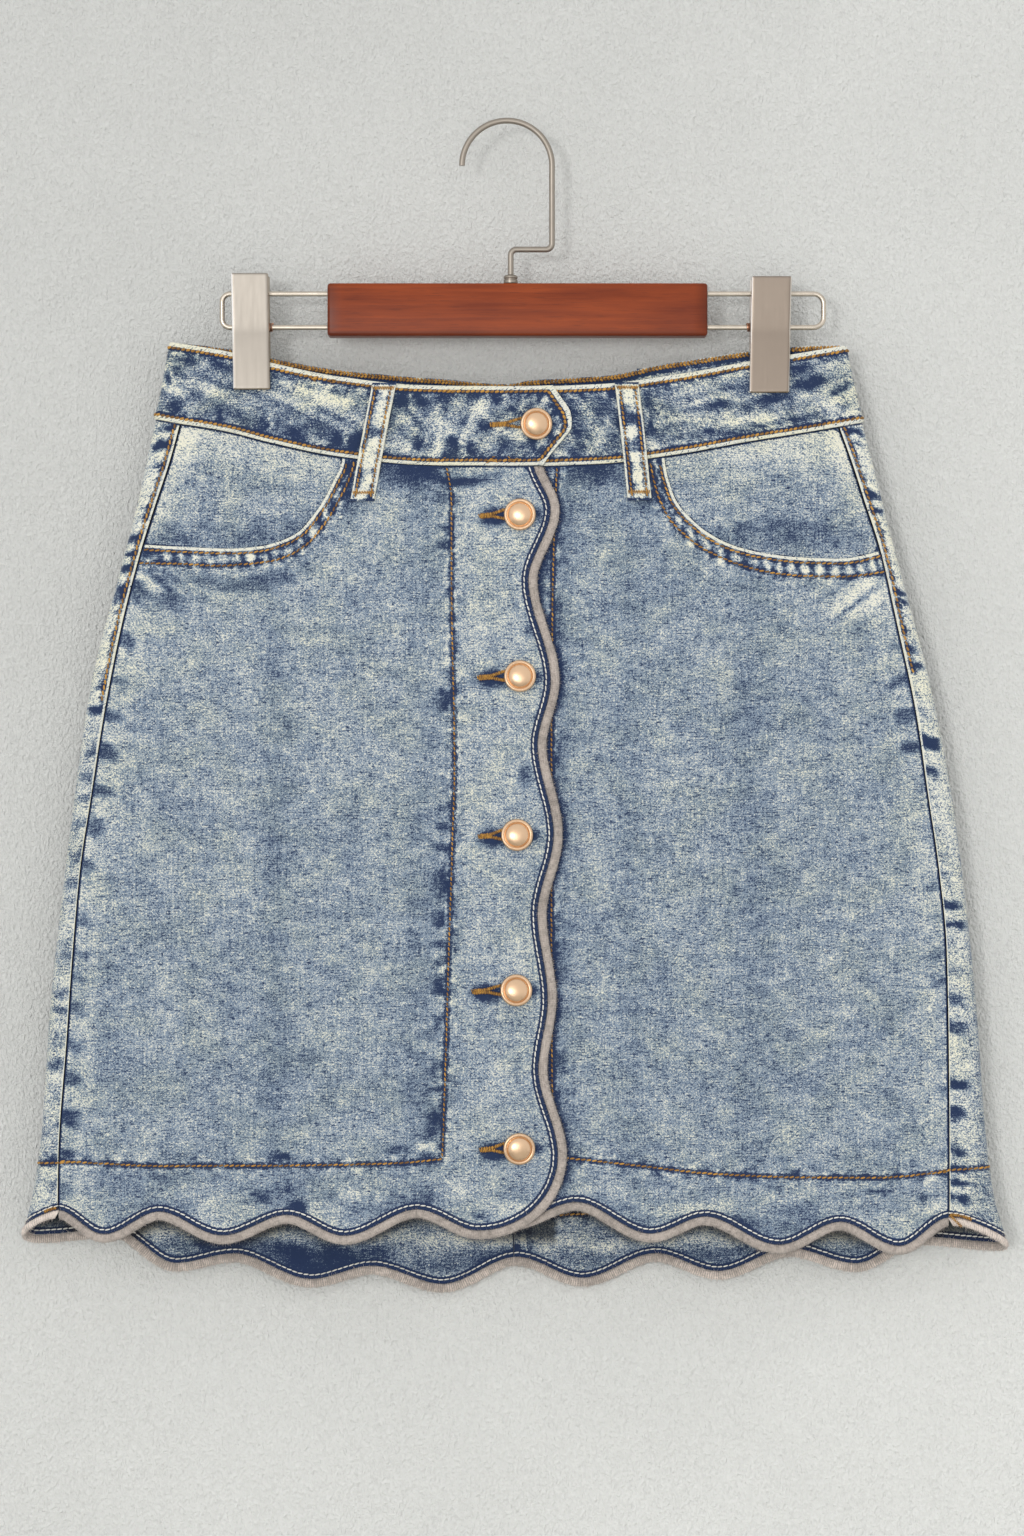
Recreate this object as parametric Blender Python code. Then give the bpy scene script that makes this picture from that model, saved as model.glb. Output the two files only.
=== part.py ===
"""A short denim skirt, buttoned down the front, held by a wooden hanger with two metal clips.

Every size is in millimetres until a mesh is made, in metres. +Z is up, the front faces -Y.
The origin is the underside of the hook's crown, where the hanger rests on its rod.
"Right" and "left" are the wearer's, so the right side lies towards -X.

The skirt hangs nearly flat. At each height its section is a ring: a front and a back with a soft
belly, joined by a round fold at each side. Cloth pieces are laid out in flat coordinates on that
ring, (x, z) on the front and (p, z) on the back, where p is measured round the ring from the
centre back. A piece's level is its distance outwards from the skirt's outer face.
"""
import math

import bmesh
import bpy
import numpy as np
from mathutils import Matrix, Vector
from mathutils.geometry import delaunay_2d_cdt

MM = 0.001
GAP = 0.35                  # between pieces that touch
CLOTH = 1.2                 # one layer of denim
BAND_HEIGHT = 43.2
BAND_OUT = 1.0              # waistband's outer face above the skirt's outer face
BAND_IN = -1.4              # and its inner face
BAND_UNDERLAP = 1.0         # how far it runs under the tab past the under-lap panel's edge
BAND_LAP_EARLY = 6.0        # its tab climbs this much sooner than the over-lap panel does
TRIM_WIDTH = 5.7            # plush edging, beyond the denim's edge
TRIM_THICK = 3.0
TRIM_SECTION_DEGREES = (180, 120, 45, -45, -120)
FACING_UNDER = 14.0         # how far a pocket facing reaches under the front
FACING_DROP = 0.5           # and how far it lies behind it
FACING_THICK = 1.0
PANEL_GRID = 24.0           # spacing of the points inside a panel
EDGE_SHARE = 0.6            # and their share of it from the edge
EDGE_STEP = 8.0             # spacing of the points along a curved edge
TOP_STEP = 15.0             # and along a nearly straight one
EDGE_CLEAR = 6.0            # between the last point of one edge and the first of the next

BACK_COLUMNS = 29           # columns from the centre back to the side fold
FOLD_COLUMNS = 6            # and round the fold
STRIP_COLUMNS = 2           # and from the fold to the side seam
SEAM_ROWS = (0, 0.07, 0.16, 0.26, 0.37, 0.49, 0.61, 0.73, 0.84, 0.93, 1)

BAND_BACK_COLUMNS = 29      # waistband columns across half the back, as many as the panel below it
BAND_FRONT_COLUMNS = 12     # and from the fold to the under-lap's end
TAB_COLUMNS = 4             # and on to the pointed tab
BAND_ROWS = (0, 0.14, 0.3, 0.42, 0.61, 0.72, 0.85, 1)

LAP_START, LAP_END = -34.0, -12.0   # where the over-lap climbs over the under-lap
LAP_LIFT = 2.5
TAB_LIFT = 3.0
CORNER_LIFT = 1.0                   # more, where both hems' edgings cross
CORNER_LIFT_START, CORNER_LIFT_END = -545.0, -572.0
UNDERLAP_EDGE = -10.0
UNDERLAP_HEIGHTS = (-230, -276, -321, -367, -413, -459, -504, -550)

BUTTON_RADIUS = 8.6
SHANK_RADIUS = 2.0
SHANK_HOLE_RADIUS = 2.5
DRILL_BEYOND = 4.0
BUTTON_PROFILE = (          # a dome inside a raised rim; height is above the button's back
    ("radius", "height"),
    (0, 4.4), (3.6, 3.9), (6.1, 2.3), (7.4, 2.7), (BUTTON_RADIUS, 1.6), (BUTTON_RADIUS - 0.4, 0),
)

LOOP_WIDTH = 12.8
LOOP_THICK = 1.8

# The ring at each height: the two side folds, their radius, and the belly of front and back
SECTIONS = (
    ("z", "left_fold", "right_fold", "fold_radius", "belly", "belly_half"),
    (-112, -180.5, 181.0, 2.0, 3.4, 122),
    (-146, -186.5, 188.0, 2.0, 4.0, 124),
    (-162, -190.0, 191.8, 2.8, 4.8, 132),
    (-204, -199.2, 202.7, 4.5, 7.0, 165),
    (-247, -210.2, 214.0, 5.2, 8.0, 187),
    (-300, -224.0, 228.0, 6.0, 9.0, 205),
    (-380, -236.0, 243.0, 6.6, 9.6, 217),
    (-470, -245.6, 252.6, 7.2, 10.2, 226),
    (-550, -252.0, 259.3, 7.7, 10.8, 236),
    (-580, -256.5, 263.5, 8.0, 11.0, 240),
    (-602, -262.0, 269.5, 8.0, 11.0, 244),
    (-645, -268.0, 275.0, 8.0, 11.0, 248),
)
# Waistband's top edge, which sags between the clips, and how much higher the back's is
BAND_TOP = (
    ("x", "z"),
    (-196, -115.4), (-184, -117.7), (-150, -123.5), (-128, -129.2), (-90, -137.0), (-47, -141.7), (0, -142.8),
    (50, -141.2), (93, -135.5), (131, -128.5), (153, -125.0), (184, -119.8), (196, -117.8),
)
BACK_RISE = (
    ("x", "rise"),
    (-192, 0.0), (-149, 1.8), (-96, 3.7), (-55, 4.9), (-36, 4.6), (-2, 2.6), (16, 4.7), (56, 5.2),
    (84, 7.0), (130, 5.6), (154, 4.2), (192, 0.0),
)
# Pointed end of the waistband, from its top edge (0) to its bottom edge (1)
TAB_END = (
    ("down", "x"),
    (0, 24.6), (0.18, 29.6), (0.35, 33.9), (0.45, 34.6), (0.55, 34.4), (0.62, 32.4), (0.75, 27.6), (0.88, 23.0),
    (1, 19.2),
)
SIDE_SEAM = (
    ("z", "left", "right"),
    (-160, -175.5, 177.5),
    (-184, -182.0, 186.0),
    (-204, -188.6, 192.4),
    (-230, -196.7, 200.8),
    (-270, -207.0, 209.8),
    (-318, -216.5, 220.0),
    (-363, -223.6, 226.6),
    (-403, -229.6, 232.4),
    (-446, -233.4, 236.4),
    (-495, -236.8, 237.4),
    (-560, -241.2, 237.9),
    (-600, -241.6, 237.8),
)
# Scalloped edges, one row for each crest or trough of the denim's edge
HEM_FRONT_RIGHT = (
    ("x", "z"),
    (-241.5, -585.0), (-217, -598), (-187, -585.5), (-153, -598.3), (-118, -587), (-87.5, -598),
    (-48, -583.5), (-15.7, -594.3),
)
HEM_FRONT_LEFT = (
    ("x", "z"),
    (UNDERLAP_EDGE, -589), (2, -590), (37, -579.5), (77, -596.6), (106, -587.5), (146, -603.2),
    (179, -591.2), (211, -604.3), (237.8, -589),
)
HEM_BACK = (
    ("p", "z"),
    (-287, -585), (-258, -600), (-217, -597), (-183, -615.8), (-152, -610.9), (-110, -625),
    (-77, -618), (-38.7, -628.3), (1.6, -613.6), (37.5, -625), (77.8, -611.4), (111, -620.7),
    (150, -607.6), (185.6, -615.8), (218, -601), (262, -604), (297.5, -589),
)
CENTRE_FRONT_EDGE = (
    ("z", "x"),
    (-555, 26.4), (-509.4, 16.1), (-471.8, 21.0), (-426.2, 15.6), (-383.7, 24.2), (-335.7, 15.6),
    (-301.4, 22.6), (-247.3, 10.7), (-209.6, 22.6), (-184, 13.4),
)
CORNER_STEPS = 9            # points on the over-lap's rounded lower corner
SCOOP_RIGHT = (
    ("x", "z"),
    (-197, -227.6), (-172, -229), (-150, -229.8), (-133.4, -228.7), (-122.6, -226),
    (-111.8, -220.6), (-106.4, -214.6), (-99.9, -205.6), (-92.9, -192.5), (-88.6, -182.0), (-88, -176),
)
SCOOP_LEFT = (
    ("x", "z"),
    (84.4, -176), (84.8, -181.7), (86.9, -192.5), (90.7, -203.3), (98.8, -213.5), (109.6, -222.2),
    (120.4, -227.6), (136.6, -231.9), (158.2, -234.6), (179.8, -235.2), (203, -230.9),
)
# Soft folds of front and back, each a low ridge (or hollow, if negative) that grows downwards
SOFT_FOLDS = (
    ("side", "x", "half_width", "height", "lean"),
    ("front", -168, 34, 1.6, -0.06),
    ("front", -92, 30, -1.2, -0.03),
    ("front", 88, 36, 1.5, 0.05),
    ("front", 162, 30, -1.3, 0.06),
    ("back", -140, 36, 1.8, -0.05),
    ("back", -58, 34, -1.4, -0.02),
    ("back", 52, 32, 1.6, 0.03),
    ("back", 146, 38, -1.5, 0.05),
)
FOLDS_START, FOLDS_FULL = -230.0, -560.0

BUTTONS = (
    ("x", "z"),
    (15.7, -163.4), (7.0, -212.2), (7.0, -298.9), (5.4, -383.9), (4.9, -466.9), (6.5, -551.3),
)
FRONT_LOOPS = (
    ("name", "top_x", "bottom_x"),
    ("belt_loop_front_right", -65.9, -77.8),
    ("belt_loop_front_left", 64.3, 71.3),
)
BACK_LOOPS = (
    ("name", "top_p", "bottom_p"),
    ("belt_loop_back_right", -76.0, -79.0),
    ("belt_loop_back_centre", 0.0, 0.0),
    ("belt_loop_back_left", 76.0, 79.0),
)
LOOP_LENGTH = 64.0
LOOP_BELOW_EDGE = 0.4
LOOP_ROWS = 9
# The loop's inner face above the skirt, from its top (0) to its lower end (1)
LOOP_RISE = (
    ("down", "level"),
    (0, 1.4), (0.12, 1.7), (0.35, 2.5), (0.58, 2.1), (0.72, 1.5), (0.83, 0.5), (0.9, 0.35), (1, 0.35),
)

# Hanger
WIRE_RADIUS = 1.6
HOOK_RADIUS = 24.3          # centreline of the hook's half circle
HOOK_BEND_RADIUS = 3.2
HOOK_SHELF_Z = -68.0        # where the wire turns in towards the neck
NECK_X = 2.0
COLLAR_RADIUS = 3.8
COLLAR_HEIGHT = 4.6
BAR_LEFT, BAR_RIGHT = -96.7, 108.0
BAR_TOP, BAR_BOTTOM = -86.9, -115.3
BAR_HALF_DEPTH = 7.0
BAR_BEVEL = 1.2
RAIL_RADIUS = 1.4
RAIL_UPPER_Z, RAIL_LOWER_Z = -92.0, -110.1
RAILS = (
    ("name", "start", "end", "bend_radius"),
    ("rail_left", BAR_LEFT - GAP, -153.8, 4.3),
    ("rail_right", BAR_RIGHT + GAP, 171.0, 5.5),
)
CLIPS = (
    ("side", "centre", "width", "top", "bottom", "lean"),
    ("left", -138.1, 20.0, -81.6, -144.1, -0.016),
    ("right", 141.9, 21.6, -83.3, -145.8, 0.018),
)
CLIP_THICK = 2.2
CLIP_CHAMFER = 1.0
CLIP_TOP_GAP = 5.6          # plate's inner face from the hanger's mid-plane, at its top
CLIP_PIVOT_GAP = 2.95       # and at the spring
CLIP_GRIP_GAP = 3.35        # and where it presses on the waistband
CLIP_GRIP_TOP = -120.0
SPRING_RADIUS = 2.6
SPRING_BEYOND = 2.2         # the spring sticks out this much towards the bar
SPRING_SHORT = 0.9          # and ends this much inside the plate's outer side

MATERIALS = {               # base colour, roughness, metallic
    "denim": ((0.30, 0.38, 0.48, 1), 0.85, 0.0),
    "denim_dark": ((0.22, 0.30, 0.42, 1), 0.85, 0.0),
    "plush_trim": ((0.44, 0.40, 0.38, 1), 0.95, 0.0),
    "button_metal": ((0.80, 0.56, 0.41, 1), 0.30, 1.0),
    "hanger_wood": ((0.22, 0.055, 0.03, 1), 0.38, 0.0),
    "hanger_metal": ((0.62, 0.58, 0.53, 1), 0.34, 1.0),
}


# ---------------------------------------------------------------- tables and curves

def column(table, name, flat_ends=False):
    """A smooth curve from a table's first column to one of its others, level at crests and troughs."""
    at = table[0].index(name)
    key = np.array([row[0] for row in table[1:]], float)
    value = np.array([row[at] for row in table[1:]], float)
    if key[0] > key[-1]:
        key, value = key[::-1], value[::-1]
    step = np.diff(key)
    slope = np.diff(value) / step
    tangent = np.zeros(len(key))
    for i in range(1, len(key) - 1):
        if slope[i - 1] * slope[i] > 0:
            before = 2 * step[i] + step[i - 1]
            after = step[i] + 2 * step[i - 1]
            tangent[i] = (before + after) / (before / slope[i - 1] + after / slope[i])
    if not flat_ends:
        tangent[0], tangent[-1] = slope[0], slope[-1]

    def curve(x):
        x = min(max(x, key[0]), key[-1])
        i = min(int(np.searchsorted(key, x, "right")) - 1, len(step) - 1)
        t = (x - key[i]) / step[i]
        t2, t3 = t * t, t * t * t
        return ((2 * t3 - 3 * t2 + 1) * value[i] + (t3 - 2 * t2 + t) * step[i] * tangent[i]
                + (3 * t2 - 2 * t3) * value[i + 1] + (t3 - t2) * step[i] * tangent[i + 1])
    return curve


def soft_step(x, start, end):
    """0 before start, 1 after end, and smooth between them."""
    t = min(max((x - start) / (end - start), 0.0), 1.0)
    return t * t * (3 - 2 * t)


def soft_bell(x, half):
    """1 at 0, falling smoothly to 0 at half."""
    return math.cos(math.pi / 2 * min(abs(x) / half, 1.0)) ** 2


def evenly(points, step):
    """The same polyline with its points about a step apart, both ends kept."""
    points = np.array(points, float)
    along = np.concatenate([[0], np.cumsum(np.linalg.norm(np.diff(points, axis=0), axis=1))])
    count = max(1, round(along[-1] / step))
    stops = np.linspace(0, along[-1], count + 1)
    return [(float(np.interp(s, along, points[:, 0])), float(np.interp(s, along, points[:, 1])))
            for s in stops]


def traced(curve, start, end, step):
    """Points (key, curve(key)) from start to end, about a step apart along the curve."""
    keys = np.linspace(start, end, 400)
    return evenly([(k, curve(k)) for k in keys], step)


left_fold = column(SECTIONS, "left_fold")
right_fold = column(SECTIONS, "right_fold")
fold_radius = column(SECTIONS, "fold_radius")
belly = column(SECTIONS, "belly")
belly_half = column(SECTIONS, "belly_half")
band_top = column(BAND_TOP, "z")
back_rise = column(BACK_RISE, "rise", True)
tab_end = column(TAB_END, "x")
seam_x = {-1: column(SIDE_SEAM, "left"), 1: column(SIDE_SEAM, "right")}
hem_front = {-1: column(HEM_FRONT_RIGHT, "z", True), 1: column(HEM_FRONT_LEFT, "z", True)}
hem_back = column(HEM_BACK, "z", True)
centre_front_x = column(CENTRE_FRONT_EDGE, "x", True)
scoop = {-1: column(SCOOP_RIGHT, "z"), 1: column(SCOOP_LEFT, "z")}
loop_rise = column(LOOP_RISE, "level")


# ---------------------------------------------------------------- the skirt's form

def centre_x(z):
    return (left_fold(z) + right_fold(z)) / 2


def flat_half(z):
    """Half the width of the front or back between its two folds."""
    return (right_fold(z) - left_fold(z)) / 2 - fold_radius(z)


def half_girth(z):
    """Round the ring from the centre back to the centre front."""
    return 2 * flat_half(z) + math.pi * fold_radius(z)


def soft_folds(side, x, z):
    """Height of the soft folds at a place on the front or the back."""
    grown = soft_step(-z, -FOLDS_START, -FOLDS_FULL)
    total = 0.0
    for name, at, half_width, height, lean in SOFT_FOLDS[1:]:
        if name == side:
            total += height * soft_bell(x - at + lean * (z - FOLDS_START), half_width)
    return total * grown


def depth(side, x, z):
    """Distance of the front or back from the skirt's mid-plane, between the folds."""
    from_centre = x - centre_x(z)
    swell = belly(z) * soft_bell(from_centre, belly_half(z))
    return fold_radius(z) + swell + soft_folds(side, x, z)


def ring(side, p, z):
    """A point of the skirt's outer face, p round the ring from the centre back, side -1 or 1."""
    flat, radius, middle = flat_half(z), fold_radius(z), centre_x(z)
    if p < flat:
        x = middle + side * p
        return Vector((x, depth("back", x, z), z))
    turn = (p - flat) / radius
    if turn < math.pi:
        return Vector((middle + side * (flat + radius * math.sin(turn)), radius * math.cos(turn), z))
    x = middle + side * (half_girth(z) - p)
    return Vector((x, -depth("front", x, z), z))


def place(side, p, z, level):
    """A point at a level above the skirt's outer face."""
    span = 0.4
    across = ring(side, p + span, z) - ring(side, p - span, z)
    down = ring(side, p, z - span) - ring(side, p, z + span)
    outward = across.cross(down).normalized() * side
    return ring(side, p, z) + outward * level


def on_front(x, z, level):
    side = -1 if x < centre_x(z) else 1
    return place(side, half_girth(z) - side * (x - centre_x(z)), z, level)


def on_back(p, z, level):
    side = -1 if p < 0 else 1
    return place(side, abs(p), z, level)


def seam_p(side, z):
    """Where the side seam lies on the ring."""
    return half_girth(z) - side * (seam_x[side](z) - centre_x(z))


def ring_x(side, p, z):
    return ring(side, p, z).x


def band_seam(x, back):
    """Height of the waistband's bottom edge, on which the panels hang."""
    return band_top(x) + (back_rise(x) if back else 0.0) - BAND_HEIGHT


def settled(height_at, start):
    """The height z with z = height_at(z), for an edge whose height depends on its own place."""
    z = start
    for _ in range(6):
        z = height_at(z)
    return z


def lap_lift(x, z):
    """How far the over-lap's outer face stands above the skirt's."""
    over = soft_step(x, LAP_START, LAP_END)
    return over * (LAP_LIFT + CORNER_LIFT * soft_step(-z, -CORNER_LIFT_START, -CORNER_LIFT_END))


# ---------------------------------------------------------------- meshes

def material(name):
    found = bpy.data.materials.get(name)
    if found:
        return found
    colour, roughness, metallic = MATERIALS[name]
    made = bpy.data.materials.new(name)
    made.use_nodes = True
    shader = made.node_tree.nodes["Principled BSDF"]
    shader.inputs["Base Color"].default_value = colour
    shader.inputs["Roughness"].default_value = roughness
    shader.inputs["Metallic"].default_value = metallic
    made.diffuse_color = colour
    return made


def add_object(name, points, faces, finish, sharp_degrees=40):
    mesh = bpy.data.meshes.new(name)
    mesh.from_pydata([tuple(MM * c for c in p) for p in points], [], faces)
    shape = bmesh.new()
    shape.from_mesh(mesh)
    bmesh.ops.recalc_face_normals(shape, faces=shape.faces)
    bmesh.ops.triangulate(shape, faces=shape.faces)
    shape.to_mesh(mesh)
    shape.free()
    mesh.materials.append(material(finish))
    mesh.shade_smooth()
    mesh.set_sharp_from_angle(angle=math.radians(sharp_degrees))
    made = bpy.data.objects.new(name, mesh)
    bpy.context.scene.collection.objects.link(made)
    return made


def inside(outline, x, z):
    """Whether a flat point lies inside a closed outline."""
    hit = False
    for (x0, z0), (x1, z1) in zip(outline, outline[1:] + outline[:1]):
        if (z0 > z) != (z1 > z) and x < (x1 - x0) * (z - z0) / (z1 - z0) + x0:
            hit = not hit
    return hit


def cut_panel(name, outline, position, finish):
    """A cloth panel: a closed outline in flat coordinates, filled with triangles and given a wall.

    position(x, z, inner) is the point of the outer or inner face."""
    edge = np.array(outline)
    low, high = edge.min(0), edge.max(0)
    points = list(outline)
    row_height = PANEL_GRID * math.sqrt(3) / 2
    for row in range(1, int((high[1] - low[1]) / row_height) + 1):
        z = low[1] + row * row_height
        for step in range(int((high[0] - low[0]) / PANEL_GRID) + 2):
            x = low[0] + (step + 0.5 * (row % 2)) * PANEL_GRID
            clear = np.hypot(edge[:, 0] - x, edge[:, 1] - z).min()
            if clear > EDGE_SHARE * PANEL_GRID and inside(outline, x, z):
                points.append((x, z))
    count = len(outline)
    borders = [(i, (i + 1) % count) for i in range(count)]
    flat, _, faces, *_ = delaunay_2d_cdt([Vector(p) for p in points], borders, [], 0, 1e-4)
    kept = []
    for face in faces:
        middle = sum((flat[i] for i in face), Vector((0, 0))) / len(face)
        if inside(outline, middle.x, middle.y):
            kept.append(tuple(face))
    return add_wall(name, [(p.x, p.y) for p in flat], kept, position, finish)


def add_wall(name, flat, faces, position, finish):
    """A closed wall from one layer of faces: an outer face, an inner face and an edge round it."""
    used = sorted({i for face in faces for i in face})
    index = {old: new for new, old in enumerate(used)}
    faces = [tuple(index[i] for i in face) for face in faces]
    outer = [position(*flat[i], False) for i in used]
    inner = [position(*flat[i], True) for i in used]
    count = len(used)
    edges = {(a, b) for face in faces for a, b in zip(face, face[1:] + face[:1])}
    rims = [(b, a, a + count, b + count) for a, b in sorted(edges) if (b, a) not in edges]
    backs = [tuple(i + count for i in reversed(face)) for face in faces]
    return add_object(name, outer + inner, faces + backs + rims, finish)


def grid_faces(rows, columns):
    return [(r * columns + c, r * columns + c + 1, (r + 1) * columns + c + 1, (r + 1) * columns + c)
            for r in range(rows - 1) for c in range(columns - 1)]


def swept_tube(name, sections, finish, sharp_degrees=40):
    """A closed solid through a list of sections, each with the same number of points."""
    sides = len(sections[0])
    points = [p for section in sections for p in section]
    faces = [(r * sides + s, r * sides + (s + 1) % sides,
              (r + 1) * sides + (s + 1) % sides, (r + 1) * sides + s)
             for r in range(len(sections) - 1) for s in range(sides)]
    last = (len(sections) - 1) * sides
    faces += [tuple(range(sides)), tuple(range(last, last + sides))]
    return add_object(name, points, faces, finish, sharp_degrees)


# ---------------------------------------------------------------- front panels and pocket facings

def seam_heights(side):
    """Heights of the points along a side seam, shared by the panels on both sides of it."""
    top = settled(lambda z: band_seam(seam_x[side](z), False), -162)
    foot = {-1: HEM_FRONT_RIGHT[1][1], 1: HEM_FRONT_LEFT[-1][1]}[side]
    return [top + v * (foot - top) for v in SEAM_ROWS]


def seam_run(side, start_z, inset):
    """The side seam's points below start_z, moved inset towards the centre front."""
    heights = [start_z] + [z for z in seam_heights(side) if z < start_z - EDGE_CLEAR]
    return [(seam_x[side](z) - side * inset, z) for z in heights]


def scoop_end(side):
    """Where the pocket scoop meets the side seam."""
    z = settled(lambda z: scoop[side](seam_x[side](z) - side * GAP), -230)
    return seam_x[side](z) - side * GAP, z


def scoop_start(side):
    """Where the pocket scoop leaves the waistband."""
    x = {-1: SCOOP_RIGHT[-2], 1: SCOOP_LEFT[2]}[side][0]
    return x, band_seam(x, False) - GAP


def scoop_run(side, step):
    """The scoop's points from the waistband to the side seam, both ends included."""
    start, end = scoop_start(side), scoop_end(side)
    curve = [(x, scoop[side](x)) for x in np.linspace(start[0], end[0], 300)]
    return evenly([start] + curve[1:-1] + [end], step)


def waist_run(start, end, step):
    return traced(lambda x: band_seam(x, False) - GAP, start, end, step)


def centre_front_run():
    """The over-lap's edge from its rounded lower corner's start up to the waistband."""
    top = settled(lambda z: band_seam(centre_front_x(z), False) - GAP, -184)
    zs = np.linspace(CENTRE_FRONT_EDGE[1][0], top, 400)
    return evenly([(centre_front_x(z), z) for z in zs], EDGE_STEP)


def corner_run():
    """The over-lap's lower corner: a quarter of an ellipse from the hem up to the front edge."""
    foot = HEM_FRONT_RIGHT[-1]
    head = (CENTRE_FRONT_EDGE[1][1], CENTRE_FRONT_EDGE[1][0])
    run = []
    for i in range(CORNER_STEPS + 1):
        turn = math.pi / 2 * i / CORNER_STEPS
        run.append((foot[0] + (head[0] - foot[0]) * math.sin(turn),
                    head[1] + (foot[1] - head[1]) * math.cos(turn)))
    return run


def hem_run_right():
    """The over-lap side's hem and corner, from the side seam to the centre front."""
    start = seam_x[-1](HEM_FRONT_RIGHT[1][1]) + GAP
    return traced(hem_front[-1], start, HEM_FRONT_RIGHT[-1][0], EDGE_STEP)[:-1] + corner_run()


def hem_run_left():
    """The under-lap side's hem, from its hidden edge to the side seam."""
    end = seam_x[1](HEM_FRONT_LEFT[-1][1]) - GAP
    return traced(hem_front[1], UNDERLAP_EDGE, end, EDGE_STEP)


def over_lap(x, z, inner):
    return on_front(x, z, lap_lift(x, z) - (CLOTH if inner else 0))


def under_lap(x, z, inner):
    return on_front(x, z, -CLOTH if inner else 0)


def build_fronts():
    right = hem_run_right()[:-1] + centre_front_run()
    right += waist_run(right[-1][0], scoop_start(-1)[0], TOP_STEP)[1:-1]
    right += scoop_run(-1, EDGE_STEP)[:-1] + seam_run(-1, scoop_end(-1)[1], GAP)[:-1]
    cut_panel("front_right", right, over_lap, "denim")

    left = hem_run_left()[:-1]
    left += seam_run(1, scoop_end(1)[1], GAP)[::-1][:-1]
    left += scoop_run(1, EDGE_STEP)[::-1][:-1]
    left += waist_run(scoop_start(1)[0], UNDERLAP_EDGE, TOP_STEP)
    left += [(UNDERLAP_EDGE, z) for z in UNDERLAP_HEIGHTS]
    cut_panel("front_left", left, under_lap, "denim")


def facing_level(x, z, inner):
    return on_front(x, z, -CLOTH - FACING_DROP - (FACING_THICK if inner else 0))


def build_facings():
    """The denim inside each pocket scoop, which runs on under the front panel."""
    for side, name in ((-1, "pocket_facing_right"), (1, "pocket_facing_left")):
        foot_z = scoop_end(side)[1] - FACING_UNDER
        inner_x = scoop_start(side)[0] - side * FACING_UNDER
        top_x = seam_x[side](seam_heights(side)[0]) - side * GAP
        waist = waist_run(top_x, inner_x, TOP_STEP)
        lower = offset_run(scoop_run(side, 12.0), FACING_UNDER, -side)
        lower = [(x, z) for x, z in lower
                 if side * x < side * seam_x[side](z) - EDGE_CLEAR and z < waist[-1][1] - EDGE_CLEAR]
        heights = [z for z in seam_heights(side)[1:] if z > foot_z + EDGE_CLEAR] + [foot_z]
        seam = [(seam_x[side](z) - side * GAP, z) for z in heights]
        outline = waist + lower + seam[::-1]
        cut_panel(name, outline, facing_level, "denim_dark")


# ---------------------------------------------------------------- back panels

def back_column(side, kind, share, z):
    """p of a column of the back panel at a height: across the back, round the fold or on the strip."""
    flat, radius = flat_half(z), fold_radius(z)
    if kind == "back":
        return share * flat
    if kind == "fold":
        return flat + share * math.pi * radius
    start = flat + math.pi * radius
    return start + share * (seam_p(side, z) - start)


def back_columns():
    kinds = [("back", i / BACK_COLUMNS) for i in range(BACK_COLUMNS)]
    kinds += [("fold", i / FOLD_COLUMNS) for i in range(FOLD_COLUMNS)]
    return kinds + [("strip", i / STRIP_COLUMNS) for i in range(STRIP_COLUMNS + 1)]


def back_edge(side):
    """(p, z) at the top and at the hem for each column of a back panel."""
    tops, hems = [], []
    heights = seam_heights(side)
    for kind, share in back_columns():
        if (kind, share) == ("strip", 1):
            top, hem = heights[0] - GAP, heights[-1]
        else:
            on_reverse = kind == "back"
            top = settled(lambda z: band_seam(ring_x(side, back_column(side, kind, share, z), z),
                                              on_reverse) - GAP, -165)
            hem = settled(lambda z: hem_back(side * back_column(side, kind, share, z)), -600)
        tops.append(top)
        hems.append(hem)
    return tops, hems


def hem_run_back(side):
    """The back hem's points (signed p, z) from the centre back to the side seam."""
    hems = back_edge(side)[1]
    return [(side * back_p(side, kind, share, z), z) for (kind, share), z in zip(back_columns(), hems)]


def back_p(side, kind, share, z):
    """A column's p, kept half a gap from the centre-back seam and clear of the side seam."""
    return max(back_column(side, kind, share, z), GAP / 2)


def build_backs():
    for side, name in ((-1, "back_right"), (1, "back_left")):
        columns = back_columns()
        tops, hems = back_edge(side)
        flat = []
        for v in SEAM_ROWS:
            for (kind, share), top, hem in zip(columns, tops, hems):
                z = top + v * (hem - top)
                flat.append((back_p(side, kind, share, z), z))
        faces = grid_faces(len(SEAM_ROWS), len(columns))
        add_wall(name, flat, faces,
                 lambda p, z, inner, s=side: place(s, p, z, -CLOTH if inner else 0), "denim")


# ---------------------------------------------------------------- waistband

def band_columns(side):
    """Columns of half the waistband, as places on the ring, from the centre back to its front end."""
    kinds = [("back", i / BAND_BACK_COLUMNS) for i in range(BAND_BACK_COLUMNS)]
    kinds += [("fold", i / FOLD_COLUMNS) for i in range(FOLD_COLUMNS)]
    count = BAND_FRONT_COLUMNS + (TAB_COLUMNS if side < 0 else 0)
    return kinds + [("front", i / (count - 1)) for i in range(count)]


def band_end(side, down):
    """x of the waistband's front end: the pointed tab, or the plain end under it."""
    return tab_end(down) if side < 0 else UNDERLAP_EDGE - BAND_UNDERLAP


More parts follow.
